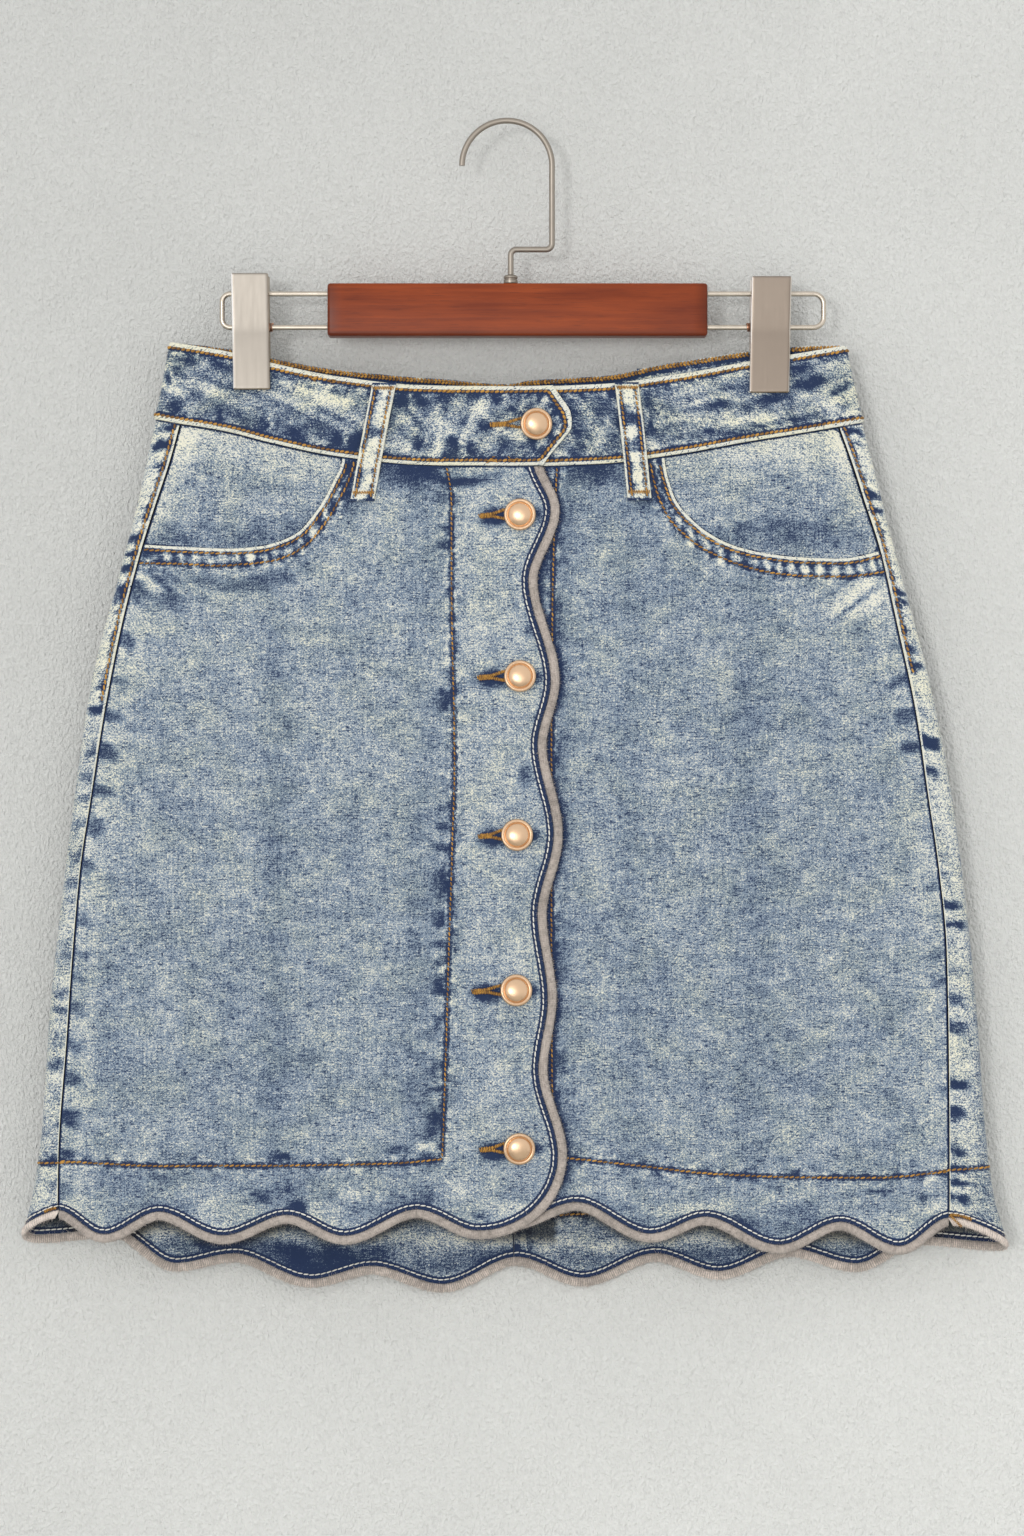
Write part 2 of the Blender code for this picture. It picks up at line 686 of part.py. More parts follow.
def band_place(side, kind, share, down):
    """(p, z) of a point of the waistband, down from its top edge (0) to its bottom edge (1)."""
    def p_at(z):
        flat, radius = flat_half(z), fold_radius(z)
        if kind == "back":
            return max(share * flat, GAP / 2)
        if kind == "fold":
            return flat + share * math.pi * radius
        start = flat + math.pi * radius
        end = half_girth(z) - side * (band_end(side, down) - centre_x(z))
        return start + share * (end - start)

    def z_at(z):
        x = ring_x(side, p_at(z), z)
        return band_seam(x, kind == "back") + (1 - down) * BAND_HEIGHT
    z = settled(z_at, -140 - down * BAND_HEIGHT)
    return p_at(z), z


def band_level(side, p, z, inner):
    point_x = ring_x(side, p, z)
    front = p > flat_half(z) + math.pi * fold_radius(z)
    lift = 0.0
    if side < 0 and front:
        lift = TAB_LIFT * soft_step(point_x, LAP_START - BAND_LAP_EARLY, LAP_END - BAND_UNDERLAP)
    return place(side, p, z, lift + (BAND_IN if inner else BAND_OUT))


def build_waistband():
    for side, name in ((-1, "waistband_right"), (1, "waistband_left")):
        columns = band_columns(side)
        flat = [band_place(side, kind, share, down) for down in BAND_ROWS for kind, share in columns]
        faces = grid_faces(len(BAND_ROWS), len(columns))
        add_wall(name, flat, faces,
                 lambda p, z, inner, s=side: band_level(s, p, z, inner), "denim")


# ---------------------------------------------------------------- edging

def offset_run(run, distance, turn, first=None, last=None):
    """The run moved sideways by a distance; first and last set the direction at its ends."""
    points = np.array(run)
    tangents = np.diff(points, axis=0)
    tangents /= np.linalg.norm(tangents, axis=1)[:, None]
    moved = []
    for i, point in enumerate(points):
        before = tangents[max(i - 1, 0)]
        after = tangents[min(i, len(tangents) - 1)]
        along = (before + after) / np.linalg.norm(before + after)
        normal = turn * np.array((-along[1], along[0]))
        spread = 1 / max(0.6, float(np.dot(along, after)))
        if i == 0 and first:
            normal, spread = np.array(first), 1.0
        if i == len(points) - 1 and last:
            normal, spread = np.array(last), 1.0
        moved.append(tuple(point + normal * distance * spread))
    return moved


def edging(name, run, turn, surface, middle_level, first, last):
    """Plush edging beyond a denim edge, a flattened round section swept along it."""
    profile = []                    # distance beyond the edge, level above the wall's middle
    for degrees in TRIM_SECTION_DEGREES:
        profile.append((GAP + TRIM_WIDTH * (0.5 + 0.5 * math.cos(math.radians(degrees))),
                        TRIM_THICK * 0.5 * math.sin(math.radians(degrees))))
    profile[0] = (GAP, 0.0)
    lines = [offset_run(run, out, turn, first, last) for out, _ in profile]
    sections = []
    for i, (x, z) in enumerate(run):
        section = []
        for line, (_, level) in zip(lines, profile):
            section.append(surface(*line[i], middle_level(x, z) + level))
        sections.append(section)
    swept_tube(name, sections, "plush_trim", 60)


def build_edgings():
    right = hem_run_right()[:-1] + centre_front_run()
    right[-1] = (right[-1][0], right[-1][1] - GAP)
    edging("trim_front_right", right, -1, on_front,
           lambda x, z: lap_lift(x, z) - CLOTH / 2, (0, -1), (1, 0))
    edging("trim_front_left", hem_run_left(), -1, on_front,
           lambda x, z: -CLOTH / 2, (0, -1), (0, -1))
    back = hem_run_back(-1)[::-1] + hem_run_back(1)[1:]
    edging("trim_back", back, -1, on_back, lambda x, z: -CLOTH / 2, (0, -1), (0, -1))


# ---------------------------------------------------------------- belt loops and buttons

def belt_loop(name, surface, top, bottom):
    """A strip down the waistband, standing off it in the middle and lying on the skirt below it."""
    top_z = top[1] - LOOP_BELOW_EDGE
    sections = []
    for i in range(LOOP_ROWS + 1):
        down = i / LOOP_ROWS
        at = top[0] + (bottom - top[0]) * down
        z = top_z - LOOP_LENGTH * down
        rise = loop_rise(down)
        half = LOOP_WIDTH / 2
        sections.append([surface(at - half, z, rise), surface(at + half, z, rise),
                         surface(at + half, z, rise + LOOP_THICK), surface(at - half, z, rise + LOOP_THICK)])
    swept_tube(name, sections, "denim", 30)


def build_loops():
    for name, top_x, bottom_x in FRONT_LOOPS[1:]:
        belt_loop(name, on_front, (top_x, band_top(top_x)), bottom_x)
    for name, top_p, bottom_p in BACK_LOOPS[1:]:
        top_z = band_seam(top_p + centre_x(-140), True) + BAND_HEIGHT
        belt_loop(name, on_back, (top_p, top_z), bottom_p)


def turned(name, profile, segments, finish, sharp_degrees=40):
    """A solid turned about the line through its centre towards -Y; profile rows are (radius, y)."""
    points, rings = [], []
    for radius, y in profile:
        if radius == 0:
            rings.append([len(points)])
            points.append((0, y, 0))
            continue
        rings.append(list(range(len(points), len(points) + segments)))
        for s in range(segments):
            turn = 2 * math.pi * s / segments
            points.append((radius * math.cos(turn), y, radius * math.sin(turn)))
    faces = []
    for upper, lower in zip(rings, rings[1:]):
        for s in range(segments):
            n = (s + 1) % segments
            if len(upper) == 1:
                faces.append((upper[0], lower[s], lower[n]))
            elif len(lower) == 1:
                faces.append((upper[s], upper[n], lower[0]))
            else:
                faces.append((upper[s], upper[n], lower[n], lower[s]))
    return add_object(name, points, faces, finish, sharp_degrees)


def foremost(surface, x, z, radius):
    """The smallest y of a surface within a radius of a place on the front."""
    places = [(0, 0)] + [(radius * math.cos(k * math.pi / 4), radius * math.sin(k * math.pi / 4))
                         for k in range(8)]
    return min(surface(x + dx, z + dz).y for dx, dz in places)


def build_buttons():
    """Domed buttons: the cap lies on the over-lap, its shank reaches the under-lap through a hole."""
    for number, (x, z) in enumerate(BUTTONS[1:], 1):
        on_band = number == 1
        over = BAND_OUT + TAB_LIFT if on_band else LAP_LIFT
        under = BAND_OUT if on_band else 0.0

        def cap_seat(at_x, at_z):
            return on_front(at_x, at_z, over + (0 if on_band else lap_lift(at_x, at_z) - LAP_LIFT))

        def shank_seat(at_x, at_z):
            return on_front(at_x, at_z, under)
        back = foremost(cap_seat, x, z, BUTTON_RADIUS) - GAP
        foot = foremost(shank_seat, x, z, SHANK_RADIUS) - GAP
        profile = [(radius, back - height) for radius, height in BUTTON_PROFILE[1:]]
        profile += [(SHANK_RADIUS, back), (SHANK_RADIUS, foot), (0, foot)]
        button = turned(f"button_{number}", profile, 16, "button_metal", 35)
        button.data.transform(move(x, z))
        panel = bpy.data.objects["waistband_right" if on_band else "front_right"]
        start, end = back - DRILL_BEYOND, foot + DRILL_BEYOND
        drill = turned("drill", [(0, start), (SHANK_HOLE_RADIUS, start),
                                 (SHANK_HOLE_RADIUS, end), (0, end)], 8, "denim")
        drill.data.transform(move(x, z))
        pierce(panel, drill)


def move(x, z):
    return Matrix.Translation((x * MM, 0, z * MM))


def pierce(panel, drill):
    """Cuts the drill out of the panel and removes it."""
    cut = panel.modifiers.new("shank_hole", "BOOLEAN")
    cut.object = drill
    cut.operation = "DIFFERENCE"
    cut.solver = "EXACT"
    graph = bpy.context.evaluated_depsgraph_get()
    mesh = bpy.data.meshes.new_from_object(panel.evaluated_get(graph))
    panel.modifiers.clear()
    old = panel.data
    panel.data = mesh
    bpy.data.meshes.remove(old)
    bpy.data.objects.remove(drill)


# ---------------------------------------------------------------- hanger

def wire(name, centreline, radius, finish):
    """A round wire along a centreline that lies in the hanger's mid-plane, y = 0."""
    sides = 8
    line = np.array(centreline)
    tangents = np.gradient(line, axis=0)
    sections = []
    for (x, z), (tx, tz) in zip(line, tangents):
        length = math.hypot(tx, tz)
        nx, nz = tz / length, -tx / length
        section = []
        for s in range(sides):
            turn = 2 * math.pi * (s + 0.5) / sides
            out = radius * math.cos(turn)
            section.append((x + nx * out, radius * math.sin(turn), z + nz * out))
        sections.append(section)
    return swept_tube(name, sections, finish, 60)


def arc(cx, cz, radius, start, end, steps):
    """Points of an arc, in degrees from +X towards +Z."""
    turns = np.radians(np.linspace(start, end, steps + 1))
    return [(cx + radius * math.cos(t), cz + radius * math.sin(t)) for t in turns]


def build_hook():
    crown_z = WIRE_RADIUS - HOOK_RADIUS
    bend = HOOK_BEND_RADIUS
    line = arc(0, crown_z, HOOK_RADIUS, 180, 0, 16)
    line += arc(HOOK_RADIUS - bend, HOOK_SHELF_Z + bend, bend, 0, -90, 3)
    line += arc(NECK_X + bend, HOOK_SHELF_Z - bend, bend, 90, 180, 3)
    collar_top = BAR_TOP + GAP + COLLAR_HEIGHT
    line.append((NECK_X, collar_top + GAP))
    wire("hanger_hook", line, WIRE_RADIUS, "hanger_metal")

    collar = turned("hook_collar", [(0, 0), (COLLAR_RADIUS - 0.8, 0), (COLLAR_RADIUS, 0.8),
                                    (COLLAR_RADIUS, COLLAR_HEIGHT), (0, COLLAR_HEIGHT)],
                    12, "hanger_metal")
    for vertex in collar.data.vertices:
        x, y, z = vertex.co
        vertex.co = (x + NECK_X * MM, z, (collar_top * MM) - y)


def build_bar():
    middle = ((BAR_LEFT + BAR_RIGHT) / 2 * MM, 0, (BAR_TOP + BAR_BOTTOM) / 2 * MM)
    bpy.ops.mesh.primitive_cube_add(size=1, location=middle)
    bar = bpy.context.object
    bar.name = "hanger_bar"
    bar.data.name = "hanger_bar"
    bar.scale = ((BAR_RIGHT - BAR_LEFT) * MM, 2 * BAR_HALF_DEPTH * MM, (BAR_TOP - BAR_BOTTOM) * MM)
    bpy.ops.object.transform_apply(location=False, rotation=False, scale=True)
    bevel = bar.modifiers.new("rounded_edges", "BEVEL")
    bevel.width = BAR_BEVEL * MM
    bevel.segments = 2
    bar.data.materials.append(material("hanger_wood"))
    bar.data.shade_smooth()
    bar.data.set_sharp_from_angle(angle=math.radians(50))


def build_rails():
    for name, start, end, bend in RAILS[1:]:
        side = 1 if end > start else -1
        upper = arc(end - side * bend, RAIL_UPPER_Z - bend, bend, 90, 90 - side * 90, 5)
        lower = arc(end - side * bend, RAIL_LOWER_Z + bend, bend, 90 - side * 90, 90 - side * 180, 5)
        line = [(start, RAIL_UPPER_Z)] + upper + lower + [(start, RAIL_LOWER_Z)]
        wire(name, line, RAIL_RADIUS, "hanger_metal")


def clip_plate(name, facing, centre, width, top, bottom, lean):
    """A clip's plate: an upright strip with chamfered outer edges, bent to pinch at its lower end."""
    half = width / 2
    rows = ((top, CLIP_TOP_GAP, CLIP_CHAMFER), (top - CLIP_CHAMFER, CLIP_TOP_GAP - 0.1, 0),
            (RAIL_LOWER_Z, CLIP_PIVOT_GAP, 0), (CLIP_GRIP_TOP, CLIP_GRIP_GAP, 0),
            (bottom + CLIP_CHAMFER, CLIP_GRIP_GAP, 0), (bottom, CLIP_GRIP_GAP, CLIP_CHAMFER))
    sections = []
    for z, gap, sunk in rows:
        outer = gap + CLIP_THICK
        middle = centre + lean * (z - (top + bottom) / 2)
        outline = ((-half, gap), (half, gap), (half, outer - CLIP_CHAMFER),
                   (half - CLIP_CHAMFER, outer - sunk), (CLIP_CHAMFER - half, outer - sunk),
                   (-half, outer - CLIP_CHAMFER))
        sections.append([(middle + x, facing * y, z) for x, y in outline])
    swept_tube(name, sections, "hanger_metal", 25)


def build_clips():
    for side, *plate in CLIPS[1:]:
        clip_plate(f"clip_{side}_front", -1, *plate)
        clip_plate(f"clip_{side}_back", 1, *plate)
        centre, half = plate[0], plate[1] / 2
        inward = 1 if centre < 0 else -1
        ends = sorted((centre + inward * (half + SPRING_BEYOND), centre - inward * (half - SPRING_SHORT)))
        build_spring(f"clip_{side}_spring", *ends)


def build_spring(name, start, end):
    """The clip's coil spring, a plain sleeve round the lower rail."""
    sides = 12
    rings = []
    for x, radius in ((start, RAIL_RADIUS + GAP), (start, SPRING_RADIUS),
                      (end, SPRING_RADIUS), (end, RAIL_RADIUS + GAP)):
        turns = [2 * math.pi * s / sides for s in range(sides)]
        rings.append([(x, radius * math.cos(t), RAIL_LOWER_Z + radius * math.sin(t)) for t in turns])
    points = [p for ring_points in rings for p in ring_points]
    faces = [(r * sides + s, r * sides + (s + 1) % sides,
              (r + 1) % 4 * sides + (s + 1) % sides, (r + 1) % 4 * sides + s)
             for r in range(4) for s in range(sides)]
    add_object(name, points, faces, "hanger_metal", 40)


def main():
    for old in list(bpy.data.objects):
        bpy.data.objects.remove(old)
    build_fronts()
    build_facings()
    build_backs()
    build_waistband()
    build_edgings()
    build_loops()
    build_buttons()
    build_hook()
    build_bar()
    build_rails()
    build_clips()


main()
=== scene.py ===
"""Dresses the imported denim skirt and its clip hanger: woven panels, sewing, plush edging, buttons,
hanger and studio.

Sizes are in millimetres until a mesh is made, in metres. The cloth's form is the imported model's:
at each height a ring of a front and a back with a soft belly, joined by a round fold at each side.
Cloth is laid out flat, (x, z) on the front and (p, z) on the back, p measured round the ring from
the centre back, and a level is a distance outwards from the skirt's outer face.
"""

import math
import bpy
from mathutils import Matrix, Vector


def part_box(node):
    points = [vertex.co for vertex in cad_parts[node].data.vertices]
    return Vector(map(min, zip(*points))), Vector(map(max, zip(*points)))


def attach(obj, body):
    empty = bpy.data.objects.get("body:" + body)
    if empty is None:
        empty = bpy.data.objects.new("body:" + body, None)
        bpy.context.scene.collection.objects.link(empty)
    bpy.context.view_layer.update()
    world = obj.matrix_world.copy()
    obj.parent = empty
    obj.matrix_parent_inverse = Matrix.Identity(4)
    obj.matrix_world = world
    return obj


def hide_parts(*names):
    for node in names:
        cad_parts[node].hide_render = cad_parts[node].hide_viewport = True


bl_info = {
    "name": "Denim skirt on a clip hanger",
    "version": (1, 0, 0),
    "blender": (4, 5, 0),
    "location": "View3D > Sidebar > Skirt",
    "description": "Adds the cloth, sewing, edging, buttons, hanger finish and studio to the skirt",
    "category": "Object",
}

import bpy
import numpy as np
from bpy.props import FloatProperty, FloatVectorProperty, IntProperty, PointerProperty
from bpy.types import Operator, Panel, PropertyGroup
from mathutils import Vector
from mathutils.geometry import delaunay_2d_cdt

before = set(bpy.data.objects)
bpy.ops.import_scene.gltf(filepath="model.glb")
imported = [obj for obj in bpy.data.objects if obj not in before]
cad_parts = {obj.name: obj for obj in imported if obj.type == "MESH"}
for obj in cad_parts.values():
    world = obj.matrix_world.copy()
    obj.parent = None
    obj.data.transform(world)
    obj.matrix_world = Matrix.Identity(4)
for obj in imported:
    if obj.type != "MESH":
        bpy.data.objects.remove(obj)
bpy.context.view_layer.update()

MM = 0.001
FAR = 99.0                              # stands for no distance at all
GAP = 0.35                              # between neighbouring cuts
CLOTH = 1.2                             # thickness of a panel
BAND_HEIGHT, BAND_STEP = 43.2, 2.3      # the waistband and the spacing of its points
BAND_OUT, BAND_IN = 1.0, -1.4           # its faces, from the skirt's outer face
BAND_ROW_TOP, BAND_ROW_FOOT = 3.0, 2.6  # its topstitching, from its edges
TRIM_WIDTH, TRIM_THICK = 4.7, 3.0       # the plush edging
TRIM_STEP, TRIM_SIDES, RIB_PITCH = 0.34, 12, 1.1
HAIR_THICK, HAIR_ROOT = 0.085, 0.12
EDGE_UNDER = 0.7                        # cloth tucked under the edging
EDGE_ROW = 1.6                          # from the edging to the white row beside it
FACING_UNDER, FACING_DROP, FACING_THICK = 14.0, 0.5, 1.0
# The over-lap rises over the under-lap between these places, most at its lower corner
LAP_START, LAP_END, LAP_LIFT, TAB_LIFT = -34.0, -12.0, 2.5, 3.0
CORNER_LIFT, CORNER_LIFT_START, CORNER_LIFT_END = 1.0, -545.0, -572.0
LAP_TOP, UNDERLAP_EDGE = -184.0, -10.0
LOOP_WIDTH, LOOP_THICK, LOOP_LENGTH = 12.8, 1.8, 64.0
LOOP_BELOW_EDGE, LOOP_SEAM = 0.4, 2.3
HOLE_END = 7.0                          # from a button's middle to the rows of its buttonhole
BUTTON_BACK = 4.4                       # from the front of a packed button to its cap's back
BEAD_RING, BEAD_HEIGHT, BEAD_SIZE = 7.5, 2.16, 0.4
CLIP_THICK, CLIP_GAP, CLIP_PINCH, CLIP_OPEN = 2.2, 3.35, 2.95, 5.6
CLIP_RIM = 1.8                          # the eased border of a clip's plate
SPRING_RADIUS = 2.1
RAIL_UPPER, RAIL_LOWER = -92.0, -110.1
# side, inner end, outer end and radius of the bends
RAILS = (("left", -97.05, -153.8, 4.3), ("right", 108.35, 171.0, 5.5))
# side, middle, width, top, bottom and lean
CLIPS = (
    ("left", -138.1, 20.0, -81.6, -144.1, -0.016),
    ("right", 141.9, 21.6, -83.3, -145.8, 0.018),
)
# middle, half width and foot of each clip
PLATES = tuple((middle, width / 2, bottom) for _, middle, width, _, bottom, _ in CLIPS)
SIDES = ((-1, "right"), (1, "left"))    # the wearer's, by the sign of x

SECTIONS = (
    ("z", "left_fold", "right_fold", "fold_radius", "belly", "belly_half"),
    (-112, -180.5, 181.0, 2.0, 3.4, 122),
    (-146, -186.5, 188.0, 2.0, 4.0, 124),
    (-162, -190.0, 191.8, 2.8, 4.8, 132),
    (-204, -199.2, 202.7, 4.5, 7.0, 165),
    (-247, -210.2, 214.0, 5.2, 8.0, 187),
    (-300, -224.0, 228.0, 6.0, 9.0, 205),
    (-380, -236.0, 243.0, 6.6, 9.6, 217),
    (-470, -245.6, 252.6, 7.2, 10.2, 226),
    (-550, -252.0, 259.3, 7.7, 10.8, 236),
    (-580, -256.5, 263.5, 8.0, 11.0, 240),
    (-602, -262.0, 269.5, 8.0, 11.0, 244),
    (-645, -268.0, 275.0, 8.0, 11.0, 248),
)
BAND_TOP = (
    ("x", "z"),
    (-196, -115.4), (-184, -117.7), (-150, -123.5), (-128, -129.2), (-90, -137.0), (-47, -141.7),
    (0, -142.8), (50, -141.2), (93, -135.5), (131, -128.5), (153, -125.0), (184, -119.8),
    (196, -117.8),
)
BACK_RISE = (
    ("x", "rise"),
    (-192, 0.0), (-149, 1.8), (-96, 3.7), (-55, 4.9), (-36, 4.6), (-2, 2.6), (16, 4.7), (56, 5.2),
    (84, 7.0), (130, 5.6), (154, 4.2), (192, 0.0),
)
TAB_END = (
    ("down", "x"),
    (0, 24.6), (0.18, 29.6), (0.35, 33.9), (0.45, 34.6), (0.55, 34.4), (0.62, 32.4), (0.75, 27.6),
    (0.88, 23.0), (1, 19.2),
)
SIDE_SEAM = (
    ("z", "left", "right"),
    (-160, -175.5, 177.5), (-184, -182.0, 186.0), (-204, -188.6, 192.4), (-230, -196.7, 200.8),
    (-270, -207.0, 209.8), (-318, -216.5, 220.0), (-363, -223.6, 226.6), (-403, -229.6, 232.4),
    (-446, -233.4, 236.4), (-495, -236.8, 237.4), (-560, -241.2, 237.9), (-600, -241.6, 237.8),
)
HEM_FRONT_RIGHT = (
    ("x", "z"),
    (-241.5, -585.0), (-217, -598), (-187, -585.5), (-153, -598.3), (-118, -587), (-87.5, -598),
    (-48, -583.5), (-15.7, -594.3),
)
HEM_FRONT_LEFT = (
    ("x", "z"),
    (UNDERLAP_EDGE, -589), (2, -590), (37, -579.5), (77, -596.6), (106, -587.5), (146, -603.2),
    (179, -591.2), (211, -604.3), (237.8, -589),
)
HEM_BACK = (
    ("p", "z"),
    (-287, -585), (-258, -600), (-217, -597), (-183, -615.8), (-152, -610.9), (-110, -625),
    (-77, -618), (-38.7, -628.3), (1.6, -613.6), (37.5, -625), (77.8, -611.4), (111, -620.7),
    (150, -607.6), (185.6, -615.8), (218, -601), (262, -604), (297.5, -589),
)
CENTRE_FRONT_EDGE = (
    ("z", "x"),
    (-555, 26.4), (-509.4, 16.1), (-471.8, 21.0), (-426.2, 15.6), (-383.7, 24.2), (-335.7, 15.6),
    (-301.4, 22.6), (-247.3, 10.7), (-209.6, 22.6), (-184, 13.4),
)
SCOOP_RIGHT = (
    ("x", "z"),
    (-197, -227.6), (-172, -229), (-150, -229.8), (-133.4, -228.7), (-122.6, -226),
    (-111.8, -220.6), (-106.4, -214.6), (-99.9, -205.6), (-92.9, -192.5), (-88.6, -182.0),
    (-88, -176),
)
SCOOP_LEFT = (
    ("x", "z"),
    (84.4, -176), (84.8, -181.7), (86.9, -192.5), (90.7, -203.3), (98.8, -213.5), (109.6, -222.2),
    (120.4, -227.6), (136.6, -231.9), (158.2, -234.6), (179.8, -235.2), (203, -230.9),
)
SOFT_FOLDS = (
    ("side", "x", "half_width", "height", "lean"),
    ("front", -168, 34, 1.6, -0.06), ("front", -92, 30, -1.2, -0.03),
    ("front", 88, 36, 1.5, 0.05), ("front", 162, 30, -1.3, 0.06),
    ("back", -140, 36, 1.8, -0.05), ("back", -58, 34, -1.4, -0.02),
    ("back", 52, 32, 1.6, 0.03), ("back", 146, 38, -1.5, 0.05),
)
FOLDS_START, FOLDS_FULL = -230.0, -560.0
BUTTONS = (
    ("x", "z", "hole_start"),
    (15.7, -163.4, -7.8), (7.0, -212.2, -13.8), (7.0, -298.9, -14.6), (5.4, -383.9, -14.2),
    (4.9, -466.9, -17.6), (6.5, -551.3, -13.4),
)
# degrees to the side and upwards
BUTTON_TILTS = ((4.0, -2.0), (-5.0, 1.5), (-0.7, 5.0), (1.3, 4.0), (5.0, 5.0), (4.0, -4.0))
BELT_LOOPS = (
    ("name", "side", "top", "bottom"),
    ("belt_loop_front_right", "front", -65.9, -77.8),
    ("belt_loop_front_left", "front", 64.3, 71.3),
    ("belt_loop_back_right", "back", -76.0, -79.0),
    ("belt_loop_back_centre", "back", 0.0, 0.0),
    ("belt_loop_back_left", "back", 76.0, 79.0),
)
LOOP_RISE = (
    ("down", "level"),
    (0, 1.4), (0.12, 1.7), (0.35, 2.5), (0.58, 2.1), (0.72, 1.5), (0.83, 0.5), (0.9, 0.35),
    (1, 0.35),
)
BACKTACKS = ((-104.0, 3.2), (-94.0, 3.2), (-31.0, 3.0), (-38.0, 40.6), (-8.0, 40.4), (3.0, 40.2))
# Rows of topstitching, in flat coordinates
PLACKET_ROW = (
    ("z", "x"),
    (-184, -32.9), (-203, -29.9), (-257, -29.7), (-344, -28.1), (-387, -29.2), (-452, -31.3),
    (-506, -32.9), (-556.4, -34.6),
)
UNDERLAP_ROW = (
    ("z", "x"),
    (-182, 27.2), (-200, 26.2), (-250, 24.6), (-350, 23.8), (-450, 23.8), (-557, 24.6),
)
HEM_ROW_RIGHT = (
    ("x", "z"),
    (-243, -559.5), (-187, -561.8), (-123, -561.4), (-58, -559.6), (-34.6, -557.4),
)
HEM_ROW_LEFT = (
    ("x", "z"),
    (24.6, -556.2), (32, -556.8), (72, -561.3), (115, -565.8), (158, -567.9), (196, -568.4),
    (239, -565.1),
)
HEM_ROW_BACK = (
    ("p", "z"),
    (-290, -560), (-262, -561), (-150, -580), (0, -592), (150, -580), (262, -563), (300, -565),
)
POCKET_ROW_RIGHT = (
    ("x", "z"),
    (-200, -237.6), (-177, -238.0), (-155, -239.0), (-144, -238.4), (-128, -236.8), (-117, -233.4),
    (-106.4, -226.4), (-98.3, -216.8), (-90.2, -203.3), (-84.8, -192.0), (-82.1, -181.7),
    (-81.6, -176),
)
POCKET_ROW_LEFT = (
    ("x", "z"),
    (76.8, -176), (77.2, -182.8), (78.8, -192.5), (82.0, -203.3), (87.6, -214.1), (95.4, -222.2),
    (104.2, -229.2), (115, -234.6), (128.5, -239.5), (142, -242.7), (158, -244.4), (180, -244.9),
    (204, -242.4),
)


# ---------------------------------------------------------------- curves and noise

def column(table, name, flat_ends=False):
    """A smooth curve from a table's first column to another, level at crests and troughs."""
    at = table[0].index(name)
    key = np.array([row[0] for row in table[1:]], float)
    value = np.array([row[at] for row in table[1:]], float)
    if key[0] > key[-1]:
        key, value = key[::-1], value[::-1]
    step = np.diff(key)
    slope = np.diff(value) / step
    tangent = np.zeros(len(key))
    for i in range(1, len(key) - 1):
        if slope[i - 1] * slope[i] > 0:
            before = 2 * step[i] + step[i - 1]
            after = step[i] + 2 * step[i - 1]
            tangent[i] = (before + after) / (before / slope[i - 1] + after / slope[i])
    if not flat_ends:
        tangent[0], tangent[-1] = slope[0], slope[-1]

    def curve(x):
        x = np.clip(np.asarray(x, float), key[0], key[-1])
        i = np.clip(np.searchsorted(key, x, "right") - 1, 0, len(step) - 1)
        t = (x - key[i]) / step[i]
        t2, t3 = t * t, t * t * t
        return ((2 * t3 - 3 * t2 + 1) * value[i] + (t3 - 2 * t2 + t) * step[i] * tangent[i]
                + (3 * t2 - 2 * t3) * value[i + 1] + (t3 - t2) * step[i] * tangent[i + 1])
    return curve


def soft_step(x, start, end):
    """0 before the start, 1 after the end."""
    t = np.clip((np.asarray(x, float) - start) / (end - start), 0, 1)
    return t * t * (3 - 2 * t)


def pair(x, z):
    """Flat points from two coordinates."""
    return np.stack(np.broadcast_arrays(np.asarray(x, float), np.asarray(z, float)), -1)


def units(vectors):
    """Vectors made one unit long."""
    return vectors / np.linalg.norm(vectors, axis=-1, keepdims=True)


def distances_along(points):
    return np.concatenate([[0], np.cumsum(np.linalg.norm(np.diff(points, axis=0), axis=1))])


def sampled(stops, along, points):
    """Points of a line at distances along it."""
    return np.stack([np.interp(stops, along, column) for column in np.transpose(points)], -1)


def soft_bell(x, half):
    """1 at 0, falling to 0 at half on either side."""
    return np.cos(math.pi / 2 * np.minimum(np.abs(x) / half, 1)) ** 2


def noise(x, y, seed):
    """Smooth noise from -1 to 1 with about one bump a unit, the same on every run."""
    x, y = np.broadcast_arrays(np.asarray(x, float), np.asarray(y, float))
    x0, y0 = np.floor(x), np.floor(y)
    fx, fy = x - x0, y - y0
    fx = fx * fx * fx * (fx * (fx * 6 - 15) + 10)
    fy = fy * fy * fy * (fy * (fy * 6 - 15) + 10)

    def corner(dx, dy):
        mixed = ((x0 + dx).astype(np.int64) * 374761393 + (y0 + dy).astype(np.int64) * 668265263
                 + seed * 974634777) & 0xFFFFFFFF
        mixed = ((mixed ^ (mixed >> 13)) * 1274126177) & 0xFFFFFFFF
        return ((mixed ^ (mixed >> 16)) & 0xFFFF) / 32767.5 - 1
    low = corner(0, 0) + (corner(1, 0) - corner(0, 0)) * fx
    high = corner(0, 1) + (corner(1, 1) - corner(0, 1)) * fx
    return low + (high - low) * fy


